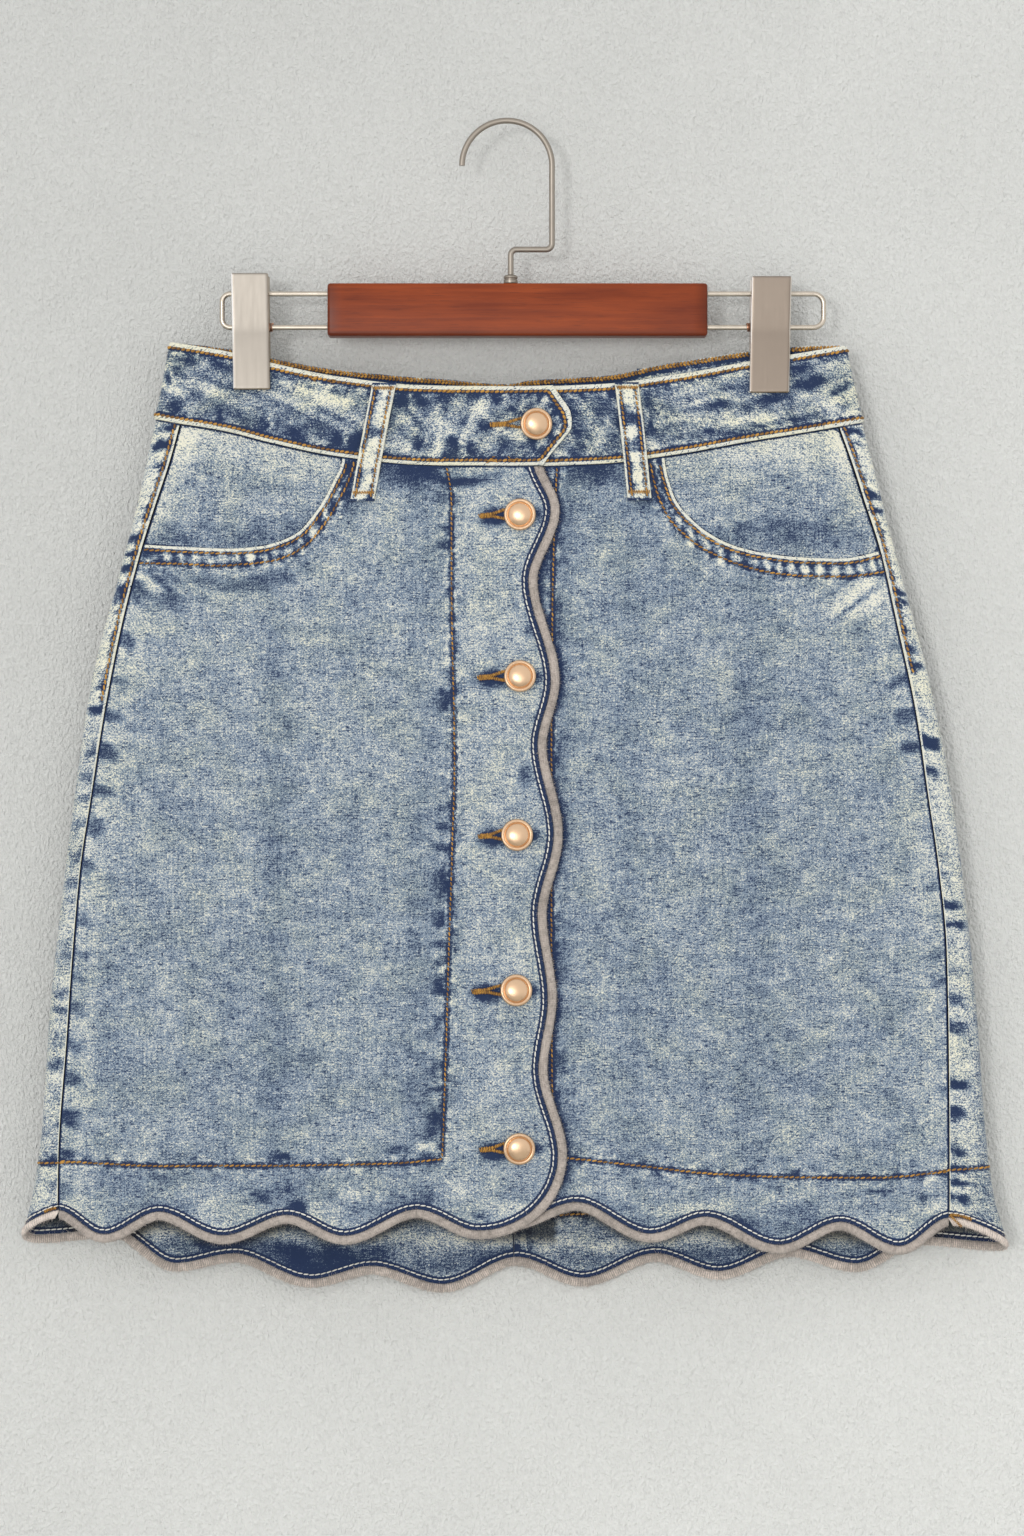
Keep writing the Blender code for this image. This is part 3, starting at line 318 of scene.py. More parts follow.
left_fold = column(SECTIONS, "left_fold")
right_fold = column(SECTIONS, "right_fold")
fold_radius = column(SECTIONS, "fold_radius")
belly = column(SECTIONS, "belly")
belly_half = column(SECTIONS, "belly_half")
band_top = column(BAND_TOP, "z")
back_rise = column(BACK_RISE, "rise", True)
tab_end = column(TAB_END, "x")
seam_x = {-1: column(SIDE_SEAM, "left"), 1: column(SIDE_SEAM, "right")}
hem_front = {-1: column(HEM_FRONT_RIGHT, "z", True), 1: column(HEM_FRONT_LEFT, "z", True)}
hem_back = column(HEM_BACK, "z", True)
centre_front_x = column(CENTRE_FRONT_EDGE, "x", True)
scoop = {-1: column(SCOOP_RIGHT, "z"), 1: column(SCOOP_LEFT, "z")}
loop_rise = column(LOOP_RISE, "level")


# ---------------------------------------------------------------- the skirt's form

def centre_x(z):
    return (left_fold(z) + right_fold(z)) / 2


def flat_half(z):
    return (right_fold(z) - left_fold(z)) / 2 - fold_radius(z)


def half_girth(z):
    """Half the way round the skirt, from the centre back to the middle of the front."""
    return 2 * flat_half(z) + math.pi * fold_radius(z)


def soft_folds(side, x, z):
    total = 0.0
    for name, at, half_width, height, lean in SOFT_FOLDS[1:]:
        if name == side:
            total = total + height * soft_bell(x - at + lean * (z - FOLDS_START), half_width)
    return total * soft_step(-z, -FOLDS_START, -FOLDS_FULL)


def depth(side, x, z):
    swell = belly(z) * soft_bell(x - centre_x(z), belly_half(z))
    return fold_radius(z) + swell + soft_folds(side, x, z)


def ring(side, p, z):
    """Points of the skirt's outer face, p round the ring from the centre back, side -1 or 1."""
    side, p, z = np.broadcast_arrays(np.asarray(side, float), np.asarray(p, float),
                                     np.asarray(z, float))
    flat, radius, middle = flat_half(z), fold_radius(z), centre_x(z)
    turn = np.clip((p - flat) / radius, 0, math.pi)
    x_back = middle + side * p
    x_front = middle + side * (half_girth(z) - p)
    on_back_face, on_front_face = p < flat, (p - flat) / radius >= math.pi
    x = np.where(on_back_face, x_back, np.where(on_front_face, x_front,
                                                middle + side * (flat + radius * np.sin(turn))))
    y = np.where(on_back_face, depth("back", x_back, z),
                 np.where(on_front_face, -depth("front", x_front, z), radius * np.cos(turn)))
    return np.stack([x, y, z], -1)


def ring_x(p, z):
    """x of a place given by its signed p."""
    return ring(np.where(p < 0, -1.0, 1.0), np.abs(p), z)[..., 0]


def place(side, p, z, level):
    """Points at a level above the skirt's outer face."""
    span = 0.4
    side = np.asarray(side, float)
    across = ring(side, p + span, z) - ring(side, p - span, z)
    down = ring(side, p, z - span) - ring(side, p, z + span)
    outward = np.cross(across, down)
    outward *= np.broadcast_to(side, outward.shape[:-1])[..., None]
    return ring(side, p, z) + units(outward) * np.asarray(level, float)[..., None]


def on_front(x, z, level):
    side = np.where(x < centre_x(z), -1.0, 1.0)
    return place(side, half_girth(z) - side * (x - centre_x(z)), z, level)


def on_back(p, z, level):
    return place(np.where(p < 0, -1.0, 1.0), np.abs(p), z, level)


def laid(surface, u, z, level):
    """Places on a surface at a level, and the directions square to it."""
    path = surface(u, z, level)
    return path, surface(u, z, level + 1.0) - path


def seam_p(side, z):
    """How far round the ring a side seam lies."""
    return half_girth(z) - side * (seam_x[side](z) - centre_x(z))


def band_seam(x, back):
    return band_top(x) + np.where(back, back_rise(x), 0.0) - BAND_HEIGHT


def settled(height_at, start):
    """The height that gives itself back, found by repeating."""
    z = start
    for _ in range(6):
        z = height_at(z)
    return z


def lap_lift(x, z):
    """Rise of the over-lap over the under-lap."""
    over = soft_step(x, LAP_START, LAP_END)
    return over * (LAP_LIFT + CORNER_LIFT * soft_step(-z, -CORNER_LIFT_START, -CORNER_LIFT_END))


# ---------------------------------------------------------------- lines in flat coordinates

def evenly(points, step):
    """The same line with its points about a step apart, both ends kept."""
    points = np.asarray(points, float)
    along = distances_along(points)
    return sampled(np.linspace(0, along[-1], max(1, round(along[-1] / step)) + 1), along, points)


def line_of(table, swap=False, start=None, end=None):
    """A table's curve as a dense line of flat points, from start to end of its first column."""
    first, second = table[0][:2]
    start = table[1][0] if start is None else start
    end = table[-1][0] if end is None else end
    keys = np.linspace(start, end, 500)
    values = column(table, second)(keys)
    return pair(values, keys) if swap else pair(keys, values)


def aside_of(line, turn):
    """Directions square to a flat line: to its left for turn 1, to its right for turn -1."""
    tangents = units(np.gradient(line, axis=0))
    return turn * pair(-tangents[:, 1], tangents[:, 0])


def offset_line(line, distance, turn):
    """The line moved sideways: to its left for turn 1, to its right for turn -1."""
    return line + distance * aside_of(line, turn)


def distance(points, line):
    """Each flat point's distance to a line."""
    best = np.full(len(points), np.inf)
    for start, end in zip(line[:-1], line[1:]):
        along = end - start
        t = np.clip(((points - start) @ along) / max(along @ along, 1e-12), 0, 1)
        apart = points - start - t[:, None] * along
        best = np.minimum(best, (apart * apart).sum(1))
    return np.sqrt(best)


def nearest_of(points, lines):
    """Each flat point's distance to the nearest line, FAR without lines."""
    return np.minimum.reduce([distance(points, evenly(line, 3.0)) for line in lines]
                             or [np.full(len(points), FAR)])


def inside(outline, points):
    """Whether each flat point lies inside a closed outline."""
    x, z = points[:, 0], points[:, 1]
    hit = np.zeros(len(points), bool)
    for (x0, z0), (x1, z1) in zip(outline, np.roll(outline, -1, 0)):
        if z0 != z1:
            hit ^= ((z0 > z) != (z1 > z)) & (x < (x1 - x0) * (z - z0) / (z1 - z0) + x0)
    return hit


def seam_top(side):
    return float(settled(lambda z: band_seam(seam_x[side](z), False), -162.0))


def seam_foot(side):
    return {-1: HEM_FRONT_RIGHT[1][1], 1: HEM_FRONT_LEFT[-1][1]}[side]


def scoop_end(side):
    z = float(settled(lambda z: scoop[side](seam_x[side](z) - side * GAP), -230.0))
    return float(seam_x[side](z)) - side * GAP, z


def scoop_start(side):
    x = {-1: SCOOP_RIGHT[-2], 1: SCOOP_LEFT[2]}[side][0]
    return x, float(band_seam(x, False)) - GAP


def scoop_line(side):
    start, end = scoop_start(side), scoop_end(side)
    x = np.linspace(start[0], end[0], 300)[1:-1]
    return np.vstack([[start], pair(x, scoop[side](x)), [end]])


def seam_line(side, start_z, end_z, inset):
    z = np.linspace(start_z, end_z, 200)
    return pair(seam_x[side](z) - side * inset, z)


def waist_line(start, end):
    x = np.linspace(start, end, 200)
    return pair(x, band_seam(x, False) - GAP)


def hem_line(side):
    """The front hem from its outer end to the centre (right) or from the under-lap out (left)."""
    if side < 0:
        x = np.linspace(float(seam_x[-1](seam_foot(-1))) + GAP, HEM_FRONT_RIGHT[-1][0], 500)
    else:
        x = np.linspace(UNDERLAP_EDGE, float(seam_x[1](seam_foot(1))) - GAP, 500)
    return pair(x, hem_front[side](x))


def lap_edge_line():
    """The over-lap's free edge: its hem, its rounded lower corner and its scalloped front edge."""
    foot = HEM_FRONT_RIGHT[-1]
    head = (CENTRE_FRONT_EDGE[1][1], CENTRE_FRONT_EDGE[1][0])
    turn = np.linspace(0, math.pi / 2, 60)
    corner = pair(foot[0] + (head[0] - foot[0]) * np.sin(turn),
                  head[1] + (foot[1] - head[1]) * np.cos(turn))
    top = float(settled(lambda z: band_seam(centre_front_x(z), False) - GAP, LAP_TOP))
    z = np.linspace(head[1], top, 900)
    return np.vstack([hem_line(-1)[:-1], corner[:-1], pair(centre_front_x(z), z)])


def back_hem_line():
    p = np.linspace(-seam_p(-1, seam_foot(-1)) + GAP, seam_p(1, seam_foot(1)) - GAP, 1200)
    return pair(p, hem_back(p))


# ---------------------------------------------------------------- relief of the cloth

def drape(u, z, seed):
    """Slow unevenness of hanging cloth, in mm."""
    return 0.45 * noise(u / 58, z / 95, seed) + 0.2 * noise(u / 21, z / 30, seed + 1)


# ---------------------------------------------------------------- meshes

def finish_mesh(name, points, faces, material, uv=None, attributes=None, sharp=None):
    """A new piece from points in mm and a list of faces, kept as they are turned."""
    mesh = bpy.data.meshes.new(name)
    mesh.from_pydata((np.asarray(points) * MM).tolist(), [], faces)
    mesh.validate()
    if uv is not None:
        layer = mesh.uv_layers.new(name="cloth")
        corner = np.empty(len(mesh.loops), np.int32)
        mesh.loops.foreach_get("vertex_index", corner)
        layer.data.foreach_set("uv", (np.asarray(uv)[corner] * MM).astype(np.float32).ravel())
    for key, values in (attributes or {}).items():
        layer = mesh.attributes.new(key, "FLOAT", "POINT")
        layer.data.foreach_set("value", np.asarray(values, np.float32))
    mesh.materials.append(material)
    mesh.shade_smooth()
    if sharp:
        mesh.set_sharp_from_angle(angle=math.radians(sharp))
    made = bpy.data.objects.new(name, mesh)
    bpy.context.scene.collection.objects.link(made)
    return made


def shell(name, flat, faces, position, attributes, material, sharp=55):
    """A thin closed wall of cloth from one layer of faces in flat coordinates."""
    outer, inner = position(flat[:, 0], flat[:, 1], False), position(flat[:, 0], flat[:, 1], True)
    count = len(flat)
    faces = np.asarray(faces)
    sides = faces.shape[1]
    starts = faces.ravel()
    ends = np.roll(faces, -1, axis=1).ravel()
    forward = starts * count + ends
    lone = ~np.isin(forward, ends * count + starts)
    rim = np.stack([ends, starts, starts + count, ends + count], -1)[lone]
    points = np.vstack([outer, inner])
    first = faces[:, :3]
    a, b, c = outer[first[:, 0]], outer[first[:, 1]], outer[first[:, 2]]
    towards = ((np.cross(b - a, c - a)) * ((outer - inner)[first[:, 0]])).sum(-1)
    back = faces[:, ::-1] + count
    if np.median(towards) < 0:
        faces, back, rim = faces[:, ::-1], back[:, ::-1], rim[:, ::-1]
    everything = faces.tolist() + back.tolist() + rim.tolist()
    twice = {key: np.concatenate([values, values]) for key, values in attributes.items()}
    twice["inner"] = np.repeat((0.0, 1.0), count)
    return finish_mesh(name, points, everything, material, np.vstack([flat, flat]), twice, sharp)


def grid_faces(rows, columns, start=0, end=None):
    """Quads between neighbouring rows, from one column to another."""
    r, c = np.meshgrid(np.arange(rows - 1), np.arange(start, end or columns - 1), indexing="ij")
    this, below, n = r * columns, (r + 1) * columns, (c + 1) % columns
    return np.stack([this + c, this + n, below + n, below + c], -1).reshape(-1, 4)


# ---------------------------------------------------------------- stitches

STITCH_RINGS = ((-0.5, 0.25), (-0.42, 0.8), (-0.15, 1.0), (0.15, 1.0), (0.42, 0.8), (0.5, 0.25))
STITCH_SIDES = 6


def stitch_template():
    """One stitch: a rounded bar along x, 1 long, 1 wide and 1 high, lying on z = 0."""
    points = []
    for x, size in STITCH_RINGS:
        for s in range(STITCH_SIDES):
            turn = 2 * math.pi * s / STITCH_SIDES
            points.append((x, 0.5 * size * math.cos(turn), 0.15 + 0.55 * size * math.sin(turn)))
    rings, sides = len(STITCH_RINGS), STITCH_SIDES
    faces = [(r * sides + s, (r + 1) * sides + s, (r + 1) * sides + (s + 1) % sides,
              r * sides + (s + 1) % sides) for r in range(rings - 1) for s in range(sides)]
    caps = [tuple(range(sides)), tuple((rings - 1) * sides + s for s in reversed(range(sides)))]
    return np.array(points), faces, caps


def under_plates(points):
    """Whether each point lies behind or before a clip's plates."""
    hidden = np.zeros(len(points), bool)
    for centre, half, foot in PLATES:
        hidden |= (np.abs(points[:, 0] - centre) < half + 0.6) & (points[:, 2] > foot - 0.6)
    return hidden


class Stitching:
    """Gathers stitches of one thread and makes them one piece."""

    def __init__(self, seed=7):
        self.centres, self.axes, self.sizes = [], [], []
        self.random = np.random.default_rng(seed)

    def add(self, centre, along, up, size):
        """Adds stitches at centres; size is (length, width, height)."""
        centre, along, up = (np.asarray(value, float) for value in (centre, along, up))
        free = ~under_plates(centre)
        if not free.any():
            return
        size = np.broadcast_to(np.asarray(size, float), (len(centre), 3))[free]
        centre, along, up = centre[free], along[free], up[free]
        along = units(along)
        aside = units(np.cross(up, along))
        up = np.cross(along, aside)
        self.centres.append(centre)
        self.axes.append(np.stack([along, aside, up], 1))
        self.sizes.append(size)

    def row(self, path, normals, length, space, width, height, slant=0.0, lift=0.0, loose=0.06):
        """Stitches end to end along a path on the cloth."""
        along = distances_along(path)
        count = max(1, int(along[-1] / (length + space)))
        pitch = along[-1] / count
        middles = (np.arange(count) + 0.5) * pitch
        near = 0.3 * length
        tangent = units(sampled(middles + near, along, path) - sampled(middles - near, along, path))
        up = units(sampled(middles, along, normals))
        aside = np.cross(up, tangent)
        wander = self.random.uniform(-1, 1, (count, 3))
        angle = math.radians(slant) + loose * wander[:, 0]
        tangent = tangent * np.cos(angle)[:, None] + aside * np.sin(angle)[:, None]
        centre = (sampled(middles, along, path) + aside * (loose * 1.6 * wander[:, 1])[:, None]
                  + up * lift)
        sizes = np.stack([(length + space * 0.2) * (1 + 0.06 * wander[:, 2]), np.full(count, width),
                          np.full(count, height)], -1)
        self.add(centre, tangent, up, sizes)

    def satin(self, path, normals, spread, pitch, thread, height, lift=0.0):
        """Close stitches across a path, as in a bartack or a buttonhole."""
        along = distances_along(path)
        count = max(2, int(along[-1] / pitch))
        middles = np.linspace(0, along[-1], count)
        tangent = sampled(middles + 0.3, along, path) - sampled(middles - 0.3, along, path)
        up = sampled(middles, along, normals)
        aside, tangent = units(np.cross(up, tangent)), units(tangent)
        wander = self.random.uniform(-1, 1, (count, 2))
        lean = np.where(np.arange(count) % 2, 0.28, -0.28) + 0.15 * wander[:, 0]
        direction = aside + tangent * lean[:, None]
        sizes = np.stack([spread * (1 + 0.12 * wander[:, 1]), np.full(count, thread),
                          np.full(count, height)], -1)
        self.add(sampled(middles, along, path) + up * lift, direction, up, sizes)

    def make(self, name, material):
        template, quads, caps = stitch_template()
        centre, axes, size = map(np.concatenate, (self.centres, self.axes, self.sizes))
        local = template[None] * size[:, None, :]
        points = centre[:, None, :] + np.einsum("nki,nij->nkj", local, axes)
        count, each = points.shape[:2]
        offset = (np.arange(count) * each)[:, None, None]
        faces = (np.array(quads)[None] + offset).reshape(-1, 4).tolist()
        faces += (np.array(caps)[None] + offset).reshape(-1, STITCH_SIDES).tolist()
        shade = np.repeat(self.random.random(count), each)
        return finish_mesh(name, points.reshape(-1, 3), faces, material,
                           attributes={"shade": shade})


# ---------------------------------------------------------------- cloth

def level_zero(u, z):
    return np.zeros_like(u)


def calm(x, z):
    """0 where hardware presses on the cloth, 1 well away from it."""
    free = np.ones(np.broadcast(x, z).shape)
    for bx, bz, _ in BUTTONS[1:]:
        free = free * soft_step(np.hypot(x - bx, z - bz), 8.0, 17.0)
    for cx, half, foot in PLATES:
        apart = np.hypot(np.maximum(np.abs(x - cx) - half, 0), np.maximum(foot - z, 0))
        free = free * soft_step(apart, 1.0, 11.0)
    for _, _, top, bottom in BELT_LOOPS[1:]:
        across = np.abs(x - (top + bottom) / 2)
        apart = np.hypot(np.maximum(across - 10, 0), np.maximum(-206 - z, 0))
        free = free * soft_step(apart, 0.0, 10.0)
    return free


class Cloth:
    """A cut of denim laid out flat, with its place on the skirt, its sewing, edges, wash and painted
    shade.
    """

    def __init__(self, surface, level, thick=CLOTH, rows=(), folds=(), trims=(), tucks=(), seed=1,
                 pucker=0.35, wash=level_zero, wrap=False, fade=level_zero, gloom=level_zero):
        self.surface, self.level, self.thick = surface, level, thick
        self.rows, self.folds, self.trims, self.tucks = rows, folds, trims, tucks
        self.seed, self.pucker, self.wash, self.wrap, self.fade = seed, pucker, wash, wrap, fade
        self.gloom = gloom

    def hung_x(self, u, z):
        """x of a flat place, for pieces laid out in (p, z)."""
        return ring_x(u, z) if self.wrap else u

    def levels(self, flat):
        """Levels of the outer and inner faces at flat places."""
        u, z = flat[:, 0], flat[:, 1]
        x = self.hung_x(u, z)
        free = calm(x, z)
        base = self.level(u, z) + drape(x, z, self.seed) * (0.15 + 0.85 * free)
        row = nearest_of(flat, self.rows)
        fold = nearest_of(flat, self.folds)
        drawn = noise(u / 5.5, z / 6.5, self.seed + 2) * np.exp(-(row / 6.0) ** 2)
        outer = (base + drawn * self.pucker * free - 0.2 * np.exp(-(row / 1.4) ** 2)
                 + 0.3 * np.exp(-((fold - 1.2) / 0.9) ** 2)
                 - 0.55 * (1 - soft_step(fold, 0.0, 1.0)))
        return outer, base - self.thick

    def path(self, line, inner=False):
        """A flat line laid on the outer or inner face, with its normals."""
        line = evenly(line, 0.9)
        path, normals = laid(self.surface, *line.T, self.levels(line)[1 if inner else 0])
        return path, -normals if inner else normals

    def attributes(self, flat):
        row = nearest_of(flat, self.rows)
        fold = nearest_of(flat, self.folds) + self.fade(*flat.T)
        # Tuck places a painted shadow line close to the tucks and beside the edging, in part the
        # unfaded indigo there.
        tuck = np.minimum(nearest_of(flat, self.tucks), nearest_of(flat, self.trims) - 3.1)
        return {"row": row, "fold": fold, "tuck": tuck, "wash": self.wash(*flat.T),
                "gloom": self.gloom(*flat.T)}

    def make(self, name, outline, step, material, guides=(), holes=()):
        lines = list(self.rows) + list(guides)
        flat, faces = woven_layout(outline, lines, step, holes)
        outer, inner = self.levels(flat)

        def position(u, z, inside_face):
            return self.surface(u, z, inner if inside_face else outer)
        return shell(name, flat, faces, position, self.attributes(flat), material)


def woven_layout(outline, lines, step, holes=()):
    """Points and triangles that fill a closed outline, with points along the lines in it."""
    outline = np.asarray(outline)
    low, high = outline.min(0), outline.max(0)
    height = step * math.sqrt(3) / 2
    rows_of_points = []
    for i in range(int((high[1] - low[1]) / height) + 1):
        x = np.arange(low[0] + (0.5 * step if i % 2 else 0), high[0], step)
        rows_of_points.append(pair(x, low[1] + i * height))
    grid = np.vstack(rows_of_points)
    grid = grid[inside(outline, grid)]
    closed = np.vstack([outline, outline[:1]])
    grid = grid[distance(grid, closed) > 0.55 * step]
    points, borders, used = [], [], 0
    for loop in [outline, *holes]:
        count = len(loop)
        borders += [(used + i, used + (i + 1) % count) for i in range(count)]
        points.append(loop)
        used += count
    for hole in holes:
        grid = grid[~inside(hole, grid)]
        grid = grid[distance(grid, hole) > 0.4 * step]
    for line in lines:
        line = evenly(line, step)
        keep = inside(outline, line) & (distance(line, closed) > 0.3 * step)
        if not keep.any():
            continue
        grid = grid[distance(grid, line) > 0.45 * step]
        index = used + np.cumsum(keep) - 1
        pairs = [(i, i + 1) for i in range(len(line) - 1) if keep[i] and keep[i + 1]]
        borders += [(int(index[a]), int(index[b])) for a, b in pairs]
        points.append(line[keep])
        used += int(keep.sum())
    points = np.vstack(points + [grid])
    flat, _, faces, *_ = delaunay_2d_cdt([Vector(p) for p in points.tolist()], borders, [], 0, 1e-4)
    flat = np.array([tuple(p) for p in flat])
    faces = np.array([face for face in faces if len(face) == 3])
    middle = flat[faces].mean(1)
    kept = inside(outline, middle)
    for hole in holes:
        kept &= ~inside(hole, middle)
    return flat, faces[kept]


def stand_for(piece, *nodes):
    """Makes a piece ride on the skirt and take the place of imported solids."""
    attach(piece, "root")
    if nodes:
        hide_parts(*nodes)
    return piece


# ---------------------------------------------------------------- the cuts of the skirt

def shank_hole(x, z, radius=2.5):
    turns = np.linspace(0, 2 * math.pi, 12, endpoint=False)
    return pair(x + radius * np.cos(turns), z + radius * np.sin(turns))


def under_trim(line):
    """An edge line carried out a little under its plush edging."""
    return offset_line(line, EDGE_UNDER, -1)


def front_outline(side, step):
    """Closed outline of a front panel."""
    if side < 0:
        edge = under_trim(lap_edge_line())
        waist = waist_line(edge[-1][0], scoop_start(-1)[0])
        scooped = scoop_line(-1)
        seam = seam_line(-1, scoop_end(-1)[1], seam_foot(-1), GAP)
        parts = (edge, waist, scooped, seam)
    else:
        hem = under_trim(hem_line(1))
        seam = seam_line(1, scoop_end(1)[1], hem[-1][1], GAP)[::-1]
        scooped = scoop_line(1)[::-1]
        waist = waist_line(scoop_start(1)[0], UNDERLAP_EDGE)
        edge = np.array([waist[-1], hem[0]])
        parts = (hem, seam, scooped, waist, edge)
    return np.vstack([evenly(part, step)[:-1] for part in parts])


def front_cloth(side):
    """The cloth of a front panel with its rows, folds and edges."""
    seam = seam_line(side, scoop_end(side)[1], seam_foot(side), GAP)
    scooped = scoop_line(side)
    if side < 0:
        tables = POCKET_ROW_RIGHT, PLACKET_ROW, HEM_ROW_RIGHT
        level, edge, wash = lap_lift, lap_edge_line(), wash_front_right
        waist = waist_line(float(centre_front_x(LAP_TOP)), scoop_start(-1)[0])
    else:
        tables = POCKET_ROW_LEFT, UNDERLAP_ROW, HEM_ROW_LEFT
        level, edge, wash = level_zero, hem_line(1), wash_and_shade_front_left
        waist = waist_line(scoop_start(1)[0], UNDERLAP_EDGE)
    rows = [offset_line(scooped, 2.7, -side), line_of(tables[0]), line_of(tables[1], True),
            line_of(tables[2])]
    return Cloth(on_front, level, rows=rows, folds=[scooped], trims=[under_trim(edge)],
                 tucks=[seam, waist], seed=11, wash=wash)


def facing_outline(side, step):
    top = seam_top(side)
    foot_z = scoop_end(side)[1] - FACING_UNDER
    top_x = float(seam_x[side](top)) - side * GAP
    inner_x = scoop_start(side)[0] - side * FACING_UNDER
    waist = waist_line(top_x, inner_x)
    lower = offset_line(scoop_line(side), FACING_UNDER, -side)
    clear = ((side * lower[:, 0] < side * seam_x[side](lower[:, 1]) - 6.0)
             & (lower[:, 1] < waist[-1][1] - 6.0))
    seam = seam_line(side, top, foot_z, GAP)[::-1]
    return np.vstack([evenly(part, step)[:-1]
                      for part in (waist, np.vstack([waist[-1:], lower[clear], seam[:1]]), seam)])


def back_top(side, p):
    """Height of a back panel's top edge at a place on the ring."""
    def height(z):
        on_reverse = p < flat_half(z)
        return band_seam(ring(side, p, z)[..., 0], on_reverse) - GAP
    return settled(height, np.full(np.shape(p), -165.0))


def back_outline(side, step):
    top_z = seam_top(side) - GAP
    foot_z = float(hem_back(side * seam_p(side, seam_foot(side)))) - EDGE_UNDER
    p = np.linspace(GAP / 2, float(seam_p(side, top_z)) - GAP, 300)
    top = pair(p, back_top(side, p))
    z = np.linspace(top[-1][1], foot_z, 300)
    seam = pair(seam_p(side, z) - GAP, z)
    p = np.linspace(seam[-1][0], GAP / 2, 700)
    hem = pair(p, hem_back(side * p) - EDGE_UNDER)
    centre = np.array([hem[-1], top[0]])
    flat = np.vstack([evenly(part, step)[:-1] for part in (top, seam, hem, centre)])
    return flat * (side, 1)


def back_rows(side):
    """Side topstitch, hem row and centre-back rows of a back panel, in (p, z)."""
    z = np.linspace(seam_top(side), -312 if side < 0 else -297, 100)
    beside = pair(side * (seam_p(side, z) - 2.9), z)
    hem = line_of(HEM_ROW_BACK)
    hem = hem[hem[:, 0] * side > 0]
    rows = [beside, hem]
    if side > 0:
        z = np.linspace(-180, -612, 200)
        rows += [pair(inset, z) for inset in (2.2, 8.6)]
    return rows


def back_cloth(side):
    z = np.linspace(seam_top(side), seam_foot(side), 200)
    fold = pair(side * (seam_p(side, z) - GAP), z)
    p = np.linspace(0, float(seam_p(side, seam_foot(side))) - GAP, 600)
    hem = pair(side * p, hem_back(side * p) - EDGE_UNDER)
    p = np.linspace(0, float(seam_p(side, seam_top(side))), 200)
    waist = pair(side * p, back_top(side, p))
    centre = np.array([(0.0, -170.0), (0.0, -625.0)])
    folds, tucks = ([fold, centre], [waist]) if side > 0 else ([fold], [waist, centre])
    return Cloth(on_back, level_zero, rows=back_rows(side), folds=folds,
                 trims=[hem], tucks=tucks, seed=23, wash=wash_back, wrap=True,
                 fade=lambda p, z: 0.75 * soft_step(-z, 315, 375), gloom=hem_gloom)


def band_place(side, kind, share, down):
    """(p, z) of a place on the waistband, down from its top edge (0) to its bottom edge (1)."""
    share, down = np.broadcast_arrays(np.asarray(share, float), np.asarray(down, float))

    def p_at(z):
        flat, radius = flat_half(z), fold_radius(z)
        if kind == "back":
            return np.maximum(share * flat, GAP / 2)
        if kind == "fold":
            return flat + share * math.pi * radius
        start = flat + math.pi * radius
        front_end = tab_end(down) if side < 0 else UNDERLAP_EDGE - 1.0
        end = half_girth(z) - side * (front_end - centre_x(z))
        return start + share * (end - start)

    def z_at(z):
        x = ring(side, p_at(z), z)[..., 0]
        return band_seam(x, kind == "back") + (1 - down) * BAND_HEIGHT
    z = settled(z_at, -140 - down * BAND_HEIGHT)
    return pair(side * p_at(z), z)


def band_line(side, down):
    """A line along the waistband from the centre back to its front end."""
    runs = [band_place(side, "back", np.linspace(0, 1, 240)[:-1], down),
            band_place(side, "fold", np.linspace(0, 1, 20)[:-1], down),
            band_place(side, "front", np.linspace(0, 1, 240), down)]
    return np.vstack(runs)


def band_end_line(side):
    return band_place(side, "front", 1.0, np.linspace(0, 1, 80))


def band_outline(side, step):
    parts = (band_line(side, 0.0), band_end_line(side), band_line(side, 1.0)[::-1],
             band_place(side, "back", 0.0, np.linspace(1, 0, 10)))
    return np.vstack([evenly(part, step)[:-1] for part in parts])


def rows_along(side):
    """The rows under the waistband's top edge and above its bottom edge."""
    return (band_line(side, BAND_ROW_TOP / BAND_HEIGHT),
            band_line(side, 1 - BAND_ROW_FOOT / BAND_HEIGHT))


def tab_row():
    """The tab's inner row: its outline moved in and joined to the top and bottom rows."""
    end = band_end_line(-1)
    moved = offset_line(end, 3.2, 1)
    high, low = (line[-30][1] for line in rows_along(-1))
    return moved[(moved[:, 1] < high - 0.4) & (moved[:, 1] > low + 0.4)]


def band_rows(side):
    top, bottom = rows_along(side)
    if side > 0:
        return [top, bottom]
    row = tab_row()
    top = top[np.abs(top[:, 0]) < np.abs(row[0][0])]
    bottom = bottom[np.abs(bottom[:, 0]) < np.abs(row[-1][0])]
    return [np.vstack([top, row, bottom[::-1]])]


def tab_lift(x):
    return TAB_LIFT * soft_step(x, LAP_START - 6.0, LAP_END - 1.0)


def band_cloth(side):
    def level(p, z):
        front = np.abs(p) > flat_half(z) + math.pi * fold_radius(z)
        return BAND_OUT + (np.where(front, tab_lift(ring_x(p, z)), 0.0) if side < 0 else 0.0)
    folds = [band_line(side, 0.0), band_line(side, 1.0), band_end_line(side)]
    return Cloth(on_back, level, thick=BAND_OUT - BAND_IN, rows=band_rows(side), folds=folds,
                 seed=31, pucker=0.3, wash=wash_band, wrap=True,
                 fade=lambda p, z: -0.7 * soft_step(z, -166, -160))


# ---------------------------------------------------------------- wash of the denim, and painted shade on it

def puckers(across, along, pitch, seed):
    """Blotches one beside the other along a seam, from -1 to 1."""
    wander = noise(along / (3 * pitch), across / 40, seed) * 0.9
    wave = np.sin(2 * math.pi * along / pitch + 2.2 * wander + across / 9)
    size = 0.6 + 0.6 * noise(along / (2 * pitch), across / 14, seed + 1)
    return np.clip(1.3 * wave * size, -1, 1)


